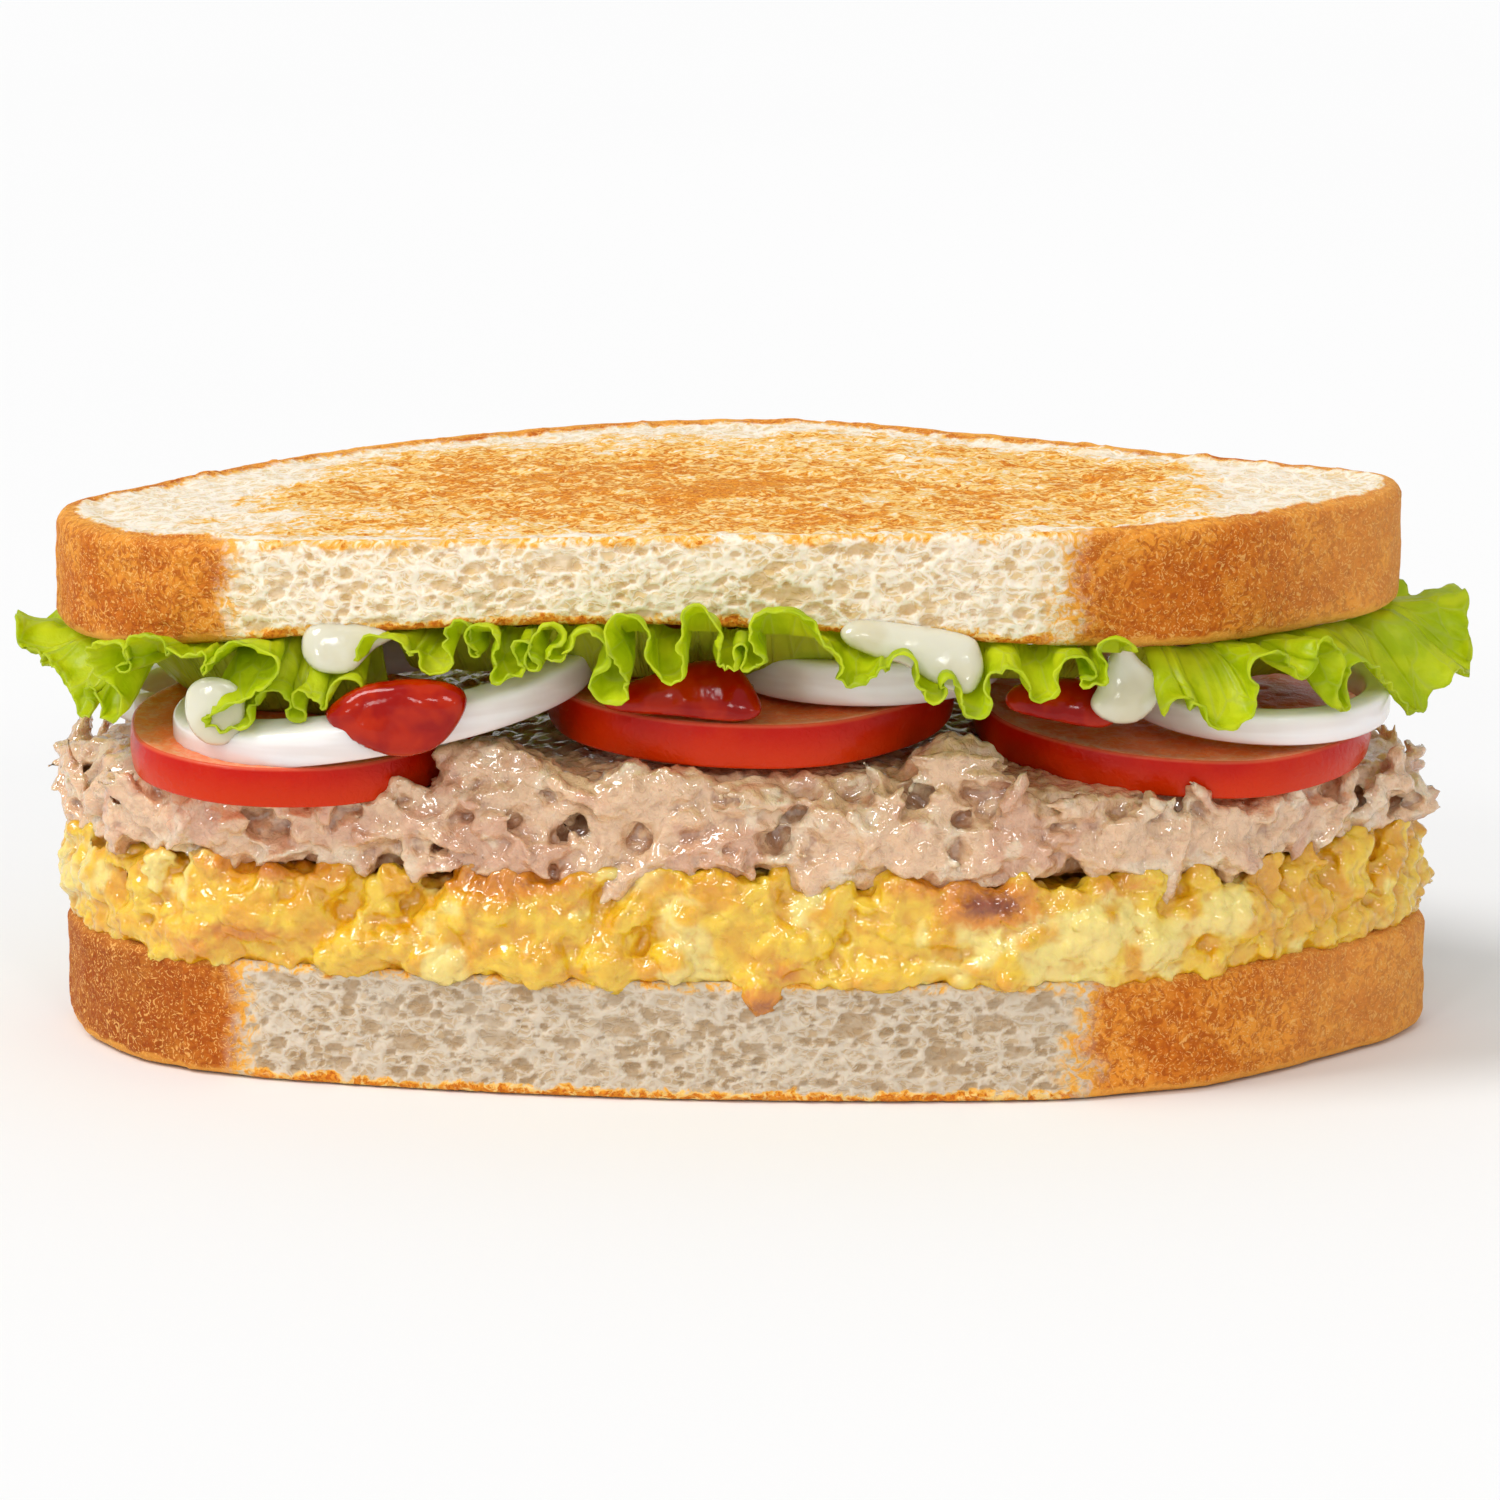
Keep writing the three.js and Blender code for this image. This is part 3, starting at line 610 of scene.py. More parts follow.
def edge_toast(flat, bottom, top, rows, seed):
    """The thin browned line along the lower edge of the slice, and a fainter one along the upper."""
    above = flat[:, 2] - np.tile(bottom, rows)
    below = np.tile(top, rows) - flat[:, 2]
    ragged = noises(flat, (0.5, 2.4, seed + 14), (0.3, 0.9, seed + 15))
    lower = 0.95 * (1 - smoothstep(above + ragged, 0.5, 1.5))
    upper = 0.25 * (1 - smoothstep(below + ragged, 0.1, 1.6))
    return np.maximum(lower, upper)


def face_points(spots, level_at, sign, inside, crust, seed):
    """Points of a slice's face with their relief, and their masks."""
    x, y = spots.T
    flat = np.stack([x, y, np.full_like(x, 7.0 * sign)], axis=1)
    random = np.random.default_rng(seed + 3)
    pits = random_pits(random, 700, (-84, 84), (-41, 48), (0.5, 1.5), (0.5, 0.9), 0.45)
    depth, pore = dents(x, y, pits)
    rise = noises(flat, (0.26, 2.1, seed + 20), (0.2, 1.1, seed + 21), (0.25, 9, seed + 22))
    lip = 0.3 * np.exp(-((inside - 1.1) ** 2)) * crust - 0.2 * smoothstep(inside, 2, 5)
    relief = (rise - 0.7 * depth) * smoothstep(inside, 0, 1.2) + lip
    behind = 1.8 * smoothstep(y, -5, 15)
    near_crust = crust * (1 - smoothstep(inside + 0.6 * noise(flat, 2, seed + 4) - behind, 0.1, 1.2))
    # The middle mask is painted shade in the face's pits.
    mask = np.stack([near_crust, 0.5 * pore, toasting(x, y, inside, seed + 30)], axis=1)
    return np.stack([x, y, level_at(x, y) + sign * relief], axis=1), mask


def ring_faces(outer, inner, sign):
    """Triangles between two closed rings of a face, facing up where sign is 1."""
    after, inner_after = np.roll(outer, -1), np.roll(inner, -1)
    corners = [[outer, after, inner_after], [outer, inner_after, inner]]
    return np.concatenate([np.stack(c, axis=1) for c in corners])[:, ::sign]


# Heaps of egg and tuna


def heap_mesh(name, shapes, relief, triangles):
    """One lumpy body from many lumps, with finer relief pushed along its surface."""
    mesh = one_skin(name, shapes, HEAP_VOXEL, HEAP_SMOOTHING)
    points = mesh_points(mesh)
    tips = smoothstep(-hollowness(mesh, 10), 0.12, 0.5)
    set_points(mesh, points + point_normals(mesh) * (relief(points) * (1 - tips))[:, None])
    return thinned(mesh, triangles)


def hollowness(mesh, times):
    """How far each point lies in a hollow, negative on ridges, in millimetres."""
    points = mesh_points(mesh)
    even = evened(points, mesh_edges(mesh), times)
    return np.einsum("ij,ij->i", even - points, point_normals(mesh))


# How many lumps stand close together round the rim, and how many more are spread over each heap.
RIM_LUMPS = 110
EGG_LUMPS = 520
TUNA_LUMPS = 250
TUNA_SPIKES = 56

# The voxels that a heap is made of, in millimetres, how many times its skin is smoothed, and how
# many triangles it is thinned to.
HEAP_VOXEL = 0.42
HEAP_SMOOTHING = 2
EGG_TRIANGLES = 185000
TUNA_TRIANGLES = 190000

# Egg curds placed along the front: x, how far out, height, radii, tilt in degrees.
EGG_FOLDS = [
    (-4, -0.4, 22.4, (8.2, 2.8, 5.0), 8),
    (1.3, 0.7, 14.0, (3.0, 2.2, 4.4), 0),
    (4.5, 0.2, 18.4, (5.4, 2.6, 3.6), 24),
    (14.5, 0.2, 15.2, (9.5, 2.4, 2.6), 3),
    (-29, -0.6, 22.0, (10.5, 3.6, 5.0), 4),
    (-26, 0.6, 16.4, (6.0, 3.2, 3.6), -6),
    (-36.5, 0.3, 15.8, (4.2, 3.0, 3.6), 30),
    (-46, 0.1, 16.6, (6.6, 3.0, 3.4), 12),
    (-60, -0.2, 20.6, (9.4, 3.2, 4.4), -8),
    (-66, 0.3, 16.6, (4.4, 2.8, 3.2), 20),
    (-17, 0.2, 16.0, (4.6, 2.8, 3.4), -24),
    (-9, 0.1, 16.8, (4.0, 2.8, 3.6), 40),
    (7, -0.6, 21.0, (6.0, 2.6, 4.6), 52),
    (22, -0.4, 21.6, (9.0, 3.2, 4.2), 14),
    (30, 0.4, 17.6, (8.0, 2.8, 3.2), 24),
    (31.5, 0.8, 15.4, (3.4, 2.4, 2.4), 0),
    (40, -0.2, 20.4, (6.4, 3.0, 4.6), -20),
    (47, 0.2, 18.0, (5.2, 2.8, 3.6), 28),
    (58, 0.1, 20.4, (7.2, 3.0, 4.0), -10),
    (67, 0.0, 19.2, (5.0, 2.8, 3.8), 18),
]


def core_shape(node, along, across):
    """A solid's points and triangles, drawn in from the rim to leave room for lumps round it."""
    points, faces = node_shape(node)
    middle = np.array([0, 3, 0])
    return middle + (points - middle) * np.array([along, across, 1]), faces


def egg_shapes():
    random = np.random.default_rng(41)
    shapes = [core_shape("egg", 0.98, 0.96)]
    for i, (x, outwards, height, radii, tilt) in enumerate(EGG_FOLDS):
        at, heading = rim_place(front_share(x), outwards - 1.2, height)
        shapes.append(lump(at, radii, heading, math.radians(-tilt), seed=i, rough=0.2, fine=3))
    for i in range(RIM_LUMPS):
        size = random.uniform(2.0, 2.8)
        at, heading = rim_place(i / RIM_LUMPS, -0.95 * size, random.uniform(14.9, 15.7))
        shapes.append(lump(at, (1.3 * size, size, size), heading, seed=700 + i))
    for i in range(EGG_LUMPS):
        share, level = spread(i)
        size = 1.6 + 2.2 * random.random() ** 1.8
        height = 15.0 + (12.4 - 0.5 * size) * level
        at, heading = rim_place(share, random.uniform(-0.7, 0.8) - 0.85 * size, height)
        radii = (size * random.uniform(0.9, 1.6), size, size * random.uniform(0.75, 1.0))
        turns = (heading + random.normal(0, 0.3), random.normal(0, 0.6), random.normal(0, 0.5))
        shapes.append(lump(at, radii, *turns, seed=100 + i))
    return shapes


def egg_relief(points):
    ends = smoothstep(abs(points[:, 0]), 52, 78)
    large = knobs(points, 4.8, 60) ** 0.6 - 0.55
    small = knobs(points, 2.5, 61) ** 0.6 - 0.55
    return 0.85 * large + (0.65 + 0.15 * ends) * small + 0.14 * noise(points, 1.2, 63)


# Where the egg is browned: x, height, how far it spreads along and up, and how dark.
EGG_BROWN = [
    (1.3, 11.6, 4.0, 2.8, 0.8), (-29, 26.0, 11, 2.4, 0.75), (-22, 23.4, 6, 2.2, 0.4),
    (28, 24.0, 6.5, 3.0, 1.0), (24, 26.4, 8, 2.0, 0.7), (-57, 26.6, 9, 2.4, 0.8),
    (-61, 18.0, 9, 1.4, 0.6), (-66, 16, 4, 2, 0.5), (44, 25.6, 5, 2.0, 0.45),
    (4, 15.8, 3.0, 2.4, 0.55), (-7, 26.0, 7, 2.0, 0.35),
]


def browned(points):
    """How far the egg is fried: most at the placed spots, and in patches near the top at the back."""
    x, y, z = points.T
    amount = np.zeros(len(points))
    front = smoothstep(-y, -8, 6)
    for centre, height, along, rise, dark in EGG_BROWN:
        distance = ((x - centre) / along) ** 2 + ((z - height) / rise) ** 2
        amount = np.maximum(amount, dark * np.exp(-distance) * front)
    patches = smoothstep(noises(points, (1, 12, 70), (0.3, 4, 71)), 0.35, 0.8) * 0.55
    return np.maximum(amount, patches * smoothstep(z, 20, 26) * (1 - front))


def egg_piece(material):
    mesh = heap_mesh("egg_curds", egg_shapes(), egg_relief, EGG_TRIANGLES)
    points = mesh_points(mesh)
    pale = smoothstep(noises(points, (1, 7, 72), (0.5, 2.5, 73)), 0.2, 0.75)
    # The third mask, how far each point lies in a crease, carries painted shade.
    paint(mesh, "egg", browned(points), pale, np.clip(0.5 + hollowness(mesh, 14), 0, 1))
    return add_piece("egg_curds", mesh, material, "egg", "egg")


# Tuna flakes placed along the front: x, how far out, height, radii, tilt in degrees.
TUNA_FLAKES = [
    (-7, -0.8, 29.5, (13.5, 2.2, 2.0), 26),
    (-10.5, -1.6, 36.0, (4.6, 3.0, 5.4), 12),
    (-16.5, -1.0, 34.5, (3.0, 2.4, 5.0), -18),
    (-3, -2.2, 34.2, (5.6, 2.8, 3.8), -20),
    (10, -1.0, 31.0, (3.6, 2.6, 5.0), 24),
    (20, -1.2, 33.0, (6.8, 3.2, 5.2), 14),
    (20, -0.4, 29.0, (6.0, 2.6, 3.6), -6),
    (25, -3.6, 38.6, (8.0, 3.0, 3.4), -2),
    (32, -1.2, 32.8, (4.2, 2.6, 5.4), -20),
    (44, -1.0, 31.0, (6.0, 2.8, 4.2), 26),
    (56, -1.0, 30.0, (6.4, 2.6, 4.4), -34),
    (66, -1.0, 31.0, (5.0, 2.6, 5.0), 40),
    (-26, -1.4, 36.8, (6.2, 3.0, 4.8), -38),
    (-27, -1.0, 30.2, (6.6, 2.8, 4.4), 24),
    (-36, -1.6, 34.0, (4.0, 2.8, 4.8), -26),
    (-41, -0.8, 31.4, (6.4, 2.8, 3.6), 8),
    (-51, -0.8, 31.0, (6.8, 2.8, 4.0), -6),
    (-64, -0.6, 31.6, (5.2, 2.8, 4.6), 24),
    (-73, -0.8, 32.0, (4.2, 2.8, 4.8), 0),
]

# Pointed tips: x, how far out, height, direction, length, width.
TUNA_TIPS = [
    (-33, -1.2, 36.4, (-0.9, -0.5, -0.7), 6.5, 1.8),
    (-21, -1.0, 27.6, (-0.3, -0.5, -0.8), 4.0, 2.0),
    (-15, -0.6, 26.0, (-0.7, -0.4, -0.6), 4.5, 2.0),
    (7, -0.6, 27.4, (0.1, -0.4, -1), 4.2, 2.2),
    (13, -0.4, 30.0, (1, -0.5, -0.2), 3.4, 1.6),
    (32, -0.8, 28.6, (0, -0.4, -1), 5.2, 2.0),
    (33, -3.4, 39.6, (0.7, -0.3, 0.8), 4.0, 1.6),
    (42, -0.6, 28.6, (-0.5, -0.5, -0.8), 3.6, 1.8),
    (57, -0.6, 27.0, (0.3, -0.4, -1), 3.8, 2.0),
    (62, -0.6, 29.6, (0.9, -0.4, -0.7), 4.0, 1.8),
    (69, -0.8, 31.0, (0.6, -0.4, -0.9), 4.6, 1.8),
    (-46, -0.8, 27.6, (0, -0.5, -1), 3.2, 2.0),
    (-56, -0.8, 28.4, (0.2, -0.5, -1), 3.0, 2.0),
]


def flake(at, radii, heading, tilt, roll, random, strands):
    """A flake of fish: tapered fibres side by side."""
    shapes = []
    for _ in range(strands):
        offset = random.uniform(-1, 1, (1, 3)) * np.array(radii) * np.array([0.3, 0.5, 0.6])
        place = np.array(at) + turned(offset, heading, tilt, roll)[0]
        size = np.array(radii) * np.array([random.uniform(0.6, 0.85), 0.44, 0.38])
        turns = (heading, tilt + random.normal(0, 0.1), roll)
        seed = int(random.integers(900))
        shapes.append(lump(place, size, *turns, taper=0.35, seed=seed))
    return shapes


def tuna_shapes():
    random = np.random.default_rng(57)
    shapes = [core_shape("tuna", 0.986, 0.976)]
    for x, outwards, height, radii, tilt in TUNA_FLAKES:
        at, heading = rim_place(front_share(x), outwards - 1.0, height)
        shapes += flake(at, radii, heading, math.radians(-tilt), 0, random, 7)
    for x, outwards, height, direction, length, width in TUNA_TIPS:
        at, _ = rim_place(front_share(x), outwards - 1.8, height)
        shapes.append(spike(at, direction, length, 1.3 * width))
    for i in range(RIM_LUMPS):
        size = random.uniform(1.9, 2.8)
        outwards = random.uniform(-0.6, 0.5) - size
        at, heading = rim_place(i / RIM_LUMPS, outwards, random.uniform(26.8, 28.4))
        shapes += flake(at, (1.5 * size, size, size), heading, random.normal(0, 0.4), 0, random, 3)
    for i in range(TUNA_LUMPS):
        share, level = spread(i)
        height = 26.6 + (tuna_top(*rim(share)[0]) - 27.0) * level
        size = random.uniform(1.9, 3.3)
        at, heading = rim_place(share, random.uniform(-1.5, 1.5) - 0.9 * size, height)
        radii = (size * random.uniform(1.4, 2.6), size, size)
        tilt = random.normal(0, 0.7)
        turns = (heading + random.normal(0, 0.35), tilt, random.normal(0, 0.5))
        shapes += flake(at, radii, *turns, random, 4)
    for _ in range(TUNA_SPIKES):
        share = random.random()
        place, outward = rim(share)
        height = random.uniform(27.4, tuna_top(*place) - 2.5)
        at, _ = rim_place(share, random.uniform(-3.0, -1.6), height)
        up = random.choice([-1, -0.7, 0.4])
        direction = (*[0.8 * part + random.normal(0, 0.7) for part in outward], up)
        shapes.append(spike(at, direction, random.uniform(2.4, 3.8), random.uniform(2.0, 2.8)))
    return shapes


def tuna_relief(points):
    stretched = points * np.array([1, 1, 1.4])
    large = knobs(stretched, 5.2, 80) ** 0.7 - 0.5
    small = knobs(stretched, 2.3, 81) ** 0.7 - 0.5
    return 0.55 * large + 0.6 * small + noises(points, (0.25, 1.5, 84), (0.1, 0.7, 85))


def tuna_piece(material):
    mesh = heap_mesh("tuna_flakes", tuna_shapes(), tuna_relief, TUNA_TRIANGLES)
    points = mesh_points(mesh)
    pink = smoothstep(noises(points, (1, 6, 90), (0.5, 2.2, 91)), -0.1, 0.6)
    cream = smoothstep(noises(points, (1, 3.4, 92), (0.4, 1.2, 93)), 0.0, 0.7)
    # The third mask, how far each point lies in a hollow, carries painted shade.
    paint(mesh, "tuna", pink, cream, np.clip(0.5 + 0.7 * hollowness(mesh, 24), 0, 1))
    return add_piece("tuna_flakes", mesh, material, "tuna", "tuna")


# Tomato slices: the centre of the underside, radius, thickness, and how far they tip and lean.
TOMATOES = {
    "tomato_left": ((-54, -16.8, 36.3), 20.5, 4.9, 5, 0),
    "tomato_middle": ((0, -14, 40.8), 24.4, 5.4, 3, 0),
    "tomato_right": ((51, -10, 37.1), 24, 4.7, 5, 2.5),
    "tomato_back": ((3, 26.6, 41.6), 15.4, 5.2, 1, 1),
}
TOMATO_STEPS = 132
TOMATO_EDGE = 0.45


def slice_profile(radius, thickness):
    """(radius, height) from the middle of the underside, round the rim, to the middle of the top."""
    corner = [(radius - TOMATO_EDGE * (1 - math.cos(a)), TOMATO_EDGE * (1 - math.sin(a)))
              for a in np.radians([70, 45, 20])]
    flat_to = radius - TOMATO_EDGE
    side = [(radius + 0.22 * math.sin(math.pi * t), TOMATO_EDGE + (thickness - 2 * TOMATO_EDGE) * t)
            for t in np.linspace(0, 1, 9)]
    return [
        *[(r, 0.0) for r in np.linspace(0.2, flat_to, 16)],
        *corner,
        *side,
        *[(r, thickness - z) for r, z in corner[::-1]],
        *[(r, thickness) for r in np.linspace(flat_to, 0.2, 26)],
    ]


def tomato_piece(name, material):
    """A round slice: a smooth skin, sharp cut edges and slightly uneven flesh."""
    at, radius, thickness, tip, lean = TOMATOES[name]
    angle = np.linspace(0, 2 * np.pi, TOMATO_STEPS, endpoint=False)
    wobble = 1 + 0.012 * np.sin(3 * angle + radius) + 0.008 * np.cos(5 * angle) + 0.004 * np.sin(9 * angle)
    profile = slice_profile(radius, thickness)
    on_face = [float(z in (0.0, thickness)) for _, z in profile]
    rows = []
    for (r, z), flat_here in zip(profile, on_face):
        across = wobble * r
        ring = np.stack([across * np.cos(angle), across * np.sin(angle), np.full(TOMATO_STEPS, z)], axis=1)
        sink = 0.28 * smoothstep(radius - r, 0.6, 2.5) * (1 if z > thickness / 2 else -1)
        flesh = noises(ring, (0.1, 1.6, 31), (0.08, 0.8, 32))
        ring[:, 2] += flat_here * (flesh * smoothstep(radius - r, 0.4, 1.6) - sink)
        rows.append(ring)
    flat = np.concatenate(rows)
    # Tipping comes after leaning, as in the solid.
    points = turned(turned(flat, tilt=math.radians(lean)), roll=math.radians(tip)) + np.array(at)
    mesh = new_mesh(name, points, band_faces(len(rows), TOMATO_STEPS))
    close_ends(mesh)
    depth = smoothstep(radius - np.hypot(flat[:, 0], flat[:, 1]), 0.2, 5.5)
    paint(mesh, "tomato", np.repeat(on_face, TOMATO_STEPS), depth, np.clip(flat[:, 2] / thickness, 0, 1))
    return add_piece(f"{name}_slice", mesh, material, "tomato", name)


def close_ends(mesh):
    """Closes the holes at the ends of a stack of rings, and turns every face outwards."""
    shape = bmesh.new()
    shape.from_mesh(mesh)
    bmesh.ops.holes_fill(shape, edges=[e for e in shape.edges if e.is_boundary], sides=0)
    bmesh.ops.triangulate(shape, faces=[f for f in shape.faces if len(f.verts) > 4])
    bmesh.ops.recalc_face_normals(shape, faces=shape.faces)
    shape.to_mesh(mesh)
    shape.free()
    mesh.shade_smooth()


# Onion rings: centre, outer radius, depth, slopes, width, height, roll, and for a piece its ends.
ONIONS = {
    "onion_left": ((-43.5, -22, 45.2), 25.2, 17.3, 0.17, 0.1, 4.4, 4.8, 14, None),
    "onion_middle": ((13.5, -16.4, 49.1), 17, 16.6, 0, 0.05, 3.4, 5.2, 0, None),
    "onion_right": ((60.5, -15, 44), 16.4, 16.2, -0.045, 0.09, 3.2, 3.8, 4, None),
    "onion_back": ((0, 25, 49), 14.4, 12.6, 0, 0, 3.3, 3.8, 0, None),
    "onion_far_left": ((-64, 3, 40), 14.4, 14, 0.05, 0, 3.2, 3.6, 0, (125, 222)),
}
ONION_CORNER = 5.5
ONION_AROUND = 40


def onion_section(width, height):
    """The ring's rounded section: how far outwards and how high each of its points lies."""
    turn = np.linspace(0, 2 * np.pi, ONION_AROUND, endpoint=False)
    power = 2 / ONION_CORNER
    across = np.sign(np.cos(turn)) * abs(np.cos(turn)) ** power * width / 2
    above = np.sign(np.sin(turn)) * abs(np.sin(turn)) ** power * height / 2
    return across, above * (1 - 0.1 * np.clip(-across / width, 0, 1))


def onion_piece(name, material):
    """An oval ring of rounded section on a sloping plane, rolled over at the front."""
    at, radius, depth, slope_x, slope_y, width, height, roll, ends = ONIONS[name]
    across, above = onion_section(width, height)
    if ends is None:
        angles = np.linspace(0, 2 * np.pi, 170, endpoint=False)
    else:
        angles = np.radians(np.linspace(*ends, 60))
    rings = []
    for angle in angles:
        tip = math.radians(roll) * max(0, -math.sin(angle))
        wide = 1 + 0.05 * math.sin(2 * angle + radius) + 0.03 * math.sin(5 * angle)
        out = wide * (across * math.cos(tip) + above * math.sin(tip))
        up = above * math.cos(tip) - across * math.sin(tip)
        x = math.cos(angle) * (radius - width / 2 + out)
        y = math.sin(angle) * (depth - width / 2 + out)
        rings.append(np.stack([x, y, slope_x * x + slope_y * y + up], axis=1) + np.array(at))
    faces = band_faces(len(rings), ONION_AROUND, closed=ends is None)
    mesh = new_mesh(name, np.concatenate(rings), faces)
    close_ends(mesh)
    outside, upside = 0.5 + across / width, 0.5 + above / height
    paint(mesh, "onion", np.tile(outside, len(rings)), np.tile(upside, len(rings)))
    return add_piece(f"{name}_slice", mesh, material, "onion", name)


# Lettuce: the free edge of each leaf as turns, first a high one, then a low one and so on. Each
# turn is how far along the rim it lies from the middle of the front, its height, its width and
# how far outside the rim it hangs.
LEAF_TURNS = {
    "lettuce_left": [
        (-136, 51, 5, 3), (-130, 46.5, 5, 4), (-124, 51.5, 5, 4), (-117, 46, 6, 5), (-110, 51, 5, 4),
        (-103, 45.5, 5, 5), (-97, 49.6, 7, 5), (-91, 44.8, 4, 3), (-87.5, 47.6, 3, 3.4),
        (-80, 41.6, 4.4, 2.5), (-77.6, 45, 1.6, 3), (-74.2, 42.6, 4.4, 4), (-72.6, 52.6, 4.6, 5.5),
        (-70.2, 49.8, 1.6, 6), (-68, 54, 4.6, 6), (-64, 51.6, 4.4, 6.5), (-57.8, 53.8, 9, 6.5),
        (-60, 43, 6.4, 5.5), (-54.8, 48.2, 3.4, 4.5), (-52.2, 45.2, 2.6, 4.5), (-50.4, 48.4, 2.6, 4.5),
        (-48.6, 46.2, 1.4, 4.5), (-46, 49.6, 3, 3.5),
    ],
    "lettuce_middle": [
        (-41.5, 55.3, 6, 4), (-36.2, 51.6, 4.6, 3.5), (-32.9, 57, 2.6, 3), (-31.2, 53, 1.8, 3),
        (-30, 57.2, 3.2, 4), (-27.4, 50.4, 5.2, 4.5), (-25.6, 55.5, 2, 4), (-24.4, 52, 2.4, 4.5),
        (-23.2, 57, 3, 4), (-21.8, 53.4, 2.2, 5), (-18.6, 56.9, 5.4, 5.5), (-15.2, 49.2, 5.2, 6),
        (-13.4, 59, 4.4, 6.5), (-8.8, 50.6, 4.6, 5.5), (-5.2, 60, 4.6, 6.5), (-2.4, 52.6, 3.8, 6),
        (-0.8, 56.4, 2, 6), (0.8, 52.8, 3.2, 6), (3.6, 60.7, 6.4, 6.5), (12.6, 51.4, 5.4, 6.5),
        (17.4, 54.6, 3.6, 6.5), (20.6, 49.8, 4, 6.5), (22.6, 52, 2, 6), (25.4, 47.8, 4.4, 6),
        (29.4, 53, 4.6, 5), (33.2, 48.9, 4.4, 5), (37.4, 53.8, 4.4, 5), (39, 50.6, 3, 5),
        (41.6, 56, 3.2, 4),
    ],
    "lettuce_right": [
        (48.6, 48, 3, 3.5), (53.8, 44.4, 7, 5), (58.4, 53.2, 4.6, 5.5), (62.2, 49.8, 3.6, 5),
        (65.6, 53.4, 4.6, 5), (67.6, 44.4, 3, 5.5), (71.2, 50.4, 3.4, 4.5), (81, 41.4, 6, 3),
        (86, 46.2, 4, 5), (91, 43.6, 3, 5.5), (96, 53.2, 6, 5), (101, 47.5, 4, 5), (106, 52, 4, 4.5),
        (111, 48, 4, 3),
    ],
}
# Leaves at the back: where they begin and end along the rim, and the seed of their turns.
BACK_LEAVES = {"lettuce_back_right": (116, 179, 21), "lettuce_back_left": (186, 250, 27)}
# The height of each leaf's hidden edge.
LEAF_INNER = {
    "lettuce_left": 41, "lettuce_middle": 47.4, "lettuce_right": 44,
    "lettuce_back_right": 47, "lettuce_back_left": 46,
}
# How far in the hidden edge lies, the leaf's thickness, its rows from that edge to the free one,
# the distance between its columns and the millimetres that its map counts as 1.
LEAF_INSET = 17
LEAF_SHEET = 0.26
LEAF_LEVELS = np.linspace(0, 1, 20) ** 0.8
LEAF_STEP = 0.44
LEAF_MAP = 20
# The rim is this much longer than the stretch of X that it passes at the front.
RIM_STRETCH = 1.025


def back_turns(start, end, seed):
    """Even, slightly irregular turns for a leaf at the back."""
    random = np.random.default_rng(seed)
    count = int((end - start) / 3.6)
    turns = []
    for i, along in enumerate(np.linspace(start, end, count)):
        height = random.uniform(53, 56) if i % 2 == 0 else random.uniform(46.5, 48.5)
        turns.append((along + random.normal(0, 0.7), height, random.uniform(3, 5.4), random.uniform(3, 5)))
    return turns


def corners_cut(before, after):
    """Two points on each stretch of a line, a quarter of the way in from its ends."""
    cut = np.stack([0.75 * before + 0.25 * after, 0.25 * before + 0.75 * after], axis=1)
    return cut.reshape(-1, before.shape[1])


def rounded_line(points, times):
    """A line of points whose corners are cut off again and again."""
    for _ in range(times):
        points = np.concatenate([points[:1], corners_cut(points[:-1], points[1:]), points[-1:]])
    return points


def even_line(points, step):
    """The same line, with points at even steps along it."""
    reach = reach_along(points[:, :2])
    places = np.linspace(0, reach[-1], int(reach[-1] / step))
    return np.stack([np.interp(places, reach, column) for column in points.T], axis=1)


def free_edge(turns):
    """The leaf's free edge as points of (along, height, out)."""
    points = []
    for i, (along, height, width, out) in enumerate(turns):
        foot = height - 0.5 * width * (1 if i % 2 == 0 else -1)
        for share, level in ((-0.5, foot), (-0.3, height), (0.3, height), (0.5, foot)):
            points.append((along + share * width, level, out))
    return even_line(rounded_line(np.array(points, float), 4), LEAF_STEP)


def running_mean(values, width):
    """Each column of values, averaged over a stretch of so many points."""
    weights = np.hanning(width + 2)[1:-1]
    weights /= weights.sum()
    padded = np.pad(values, ((width // 2, width - 1 - width // 2), (0, 0)), mode="edge")
    return np.stack([np.convolve(column, weights, "valid") for column in padded.T], axis=1)


def leaf_rows(turns, inner, seed):
    """The leaf as rows of points, from its hidden edge to its free edge."""
    edge = free_edge(turns)
    mean = running_mean(edge, int(22 / LEAF_STEP))
    steps = len(edge)
    length = np.arange(steps) * LEAF_STEP
    swing = edge - mean
    ahead = np.gradient(edge[:, :2], axis=0)
    across = np.stack([-ahead[:, 1], ahead[:, 0]], axis=1)
    across /= np.linalg.norm(across, axis=1, keepdims=True)
    rows = []
    for level in LEAF_LEVELS:
        line = np.stack([length, np.full(steps, level * 6.0), np.full(steps, seed * 9.1)], axis=1)
        teeth = 1.1 * noise(line, 2.4, 5) + 1.0 * abs(noise(line, 1.3, 6))
        spread_by = smoothstep(level, 0.12, 1.05) ** 0.9
        flat = mean[:, :2] + swing[:, :2] * spread_by
        flat = flat + across * (teeth * smoothstep(level, 0.82, 1))[:, None]
        folds = noises(line, (0.5 * level, 5, 7), (0.25, 1.8, 8))
        out = -LEAF_INSET * (1 - level) ** 1.5 + level**2 * edge[:, 2] + folds * smoothstep(level, 0.3, 0.8)
        at, _ = rim(front_share(0) + flat[:, 0] * RIM_STRETCH / PERIMETER, out)
        ceiling = upper_underside(*at.T) - 0.5
        high = inner + (ceiling - inner) * smoothstep(level, 0, 0.5)
        drop = smoothstep(level, 0.45, 1)
        height = high * (1 - drop) + mean[:, 1] * drop + (flat[:, 1] - mean[:, 1])
        ceiling = ceiling + 12 * smoothstep(out, 0.4, 2.0)
        rows.append(np.concatenate([at, np.minimum(height, ceiling)[:, None]], axis=1))
    return np.stack(rows)


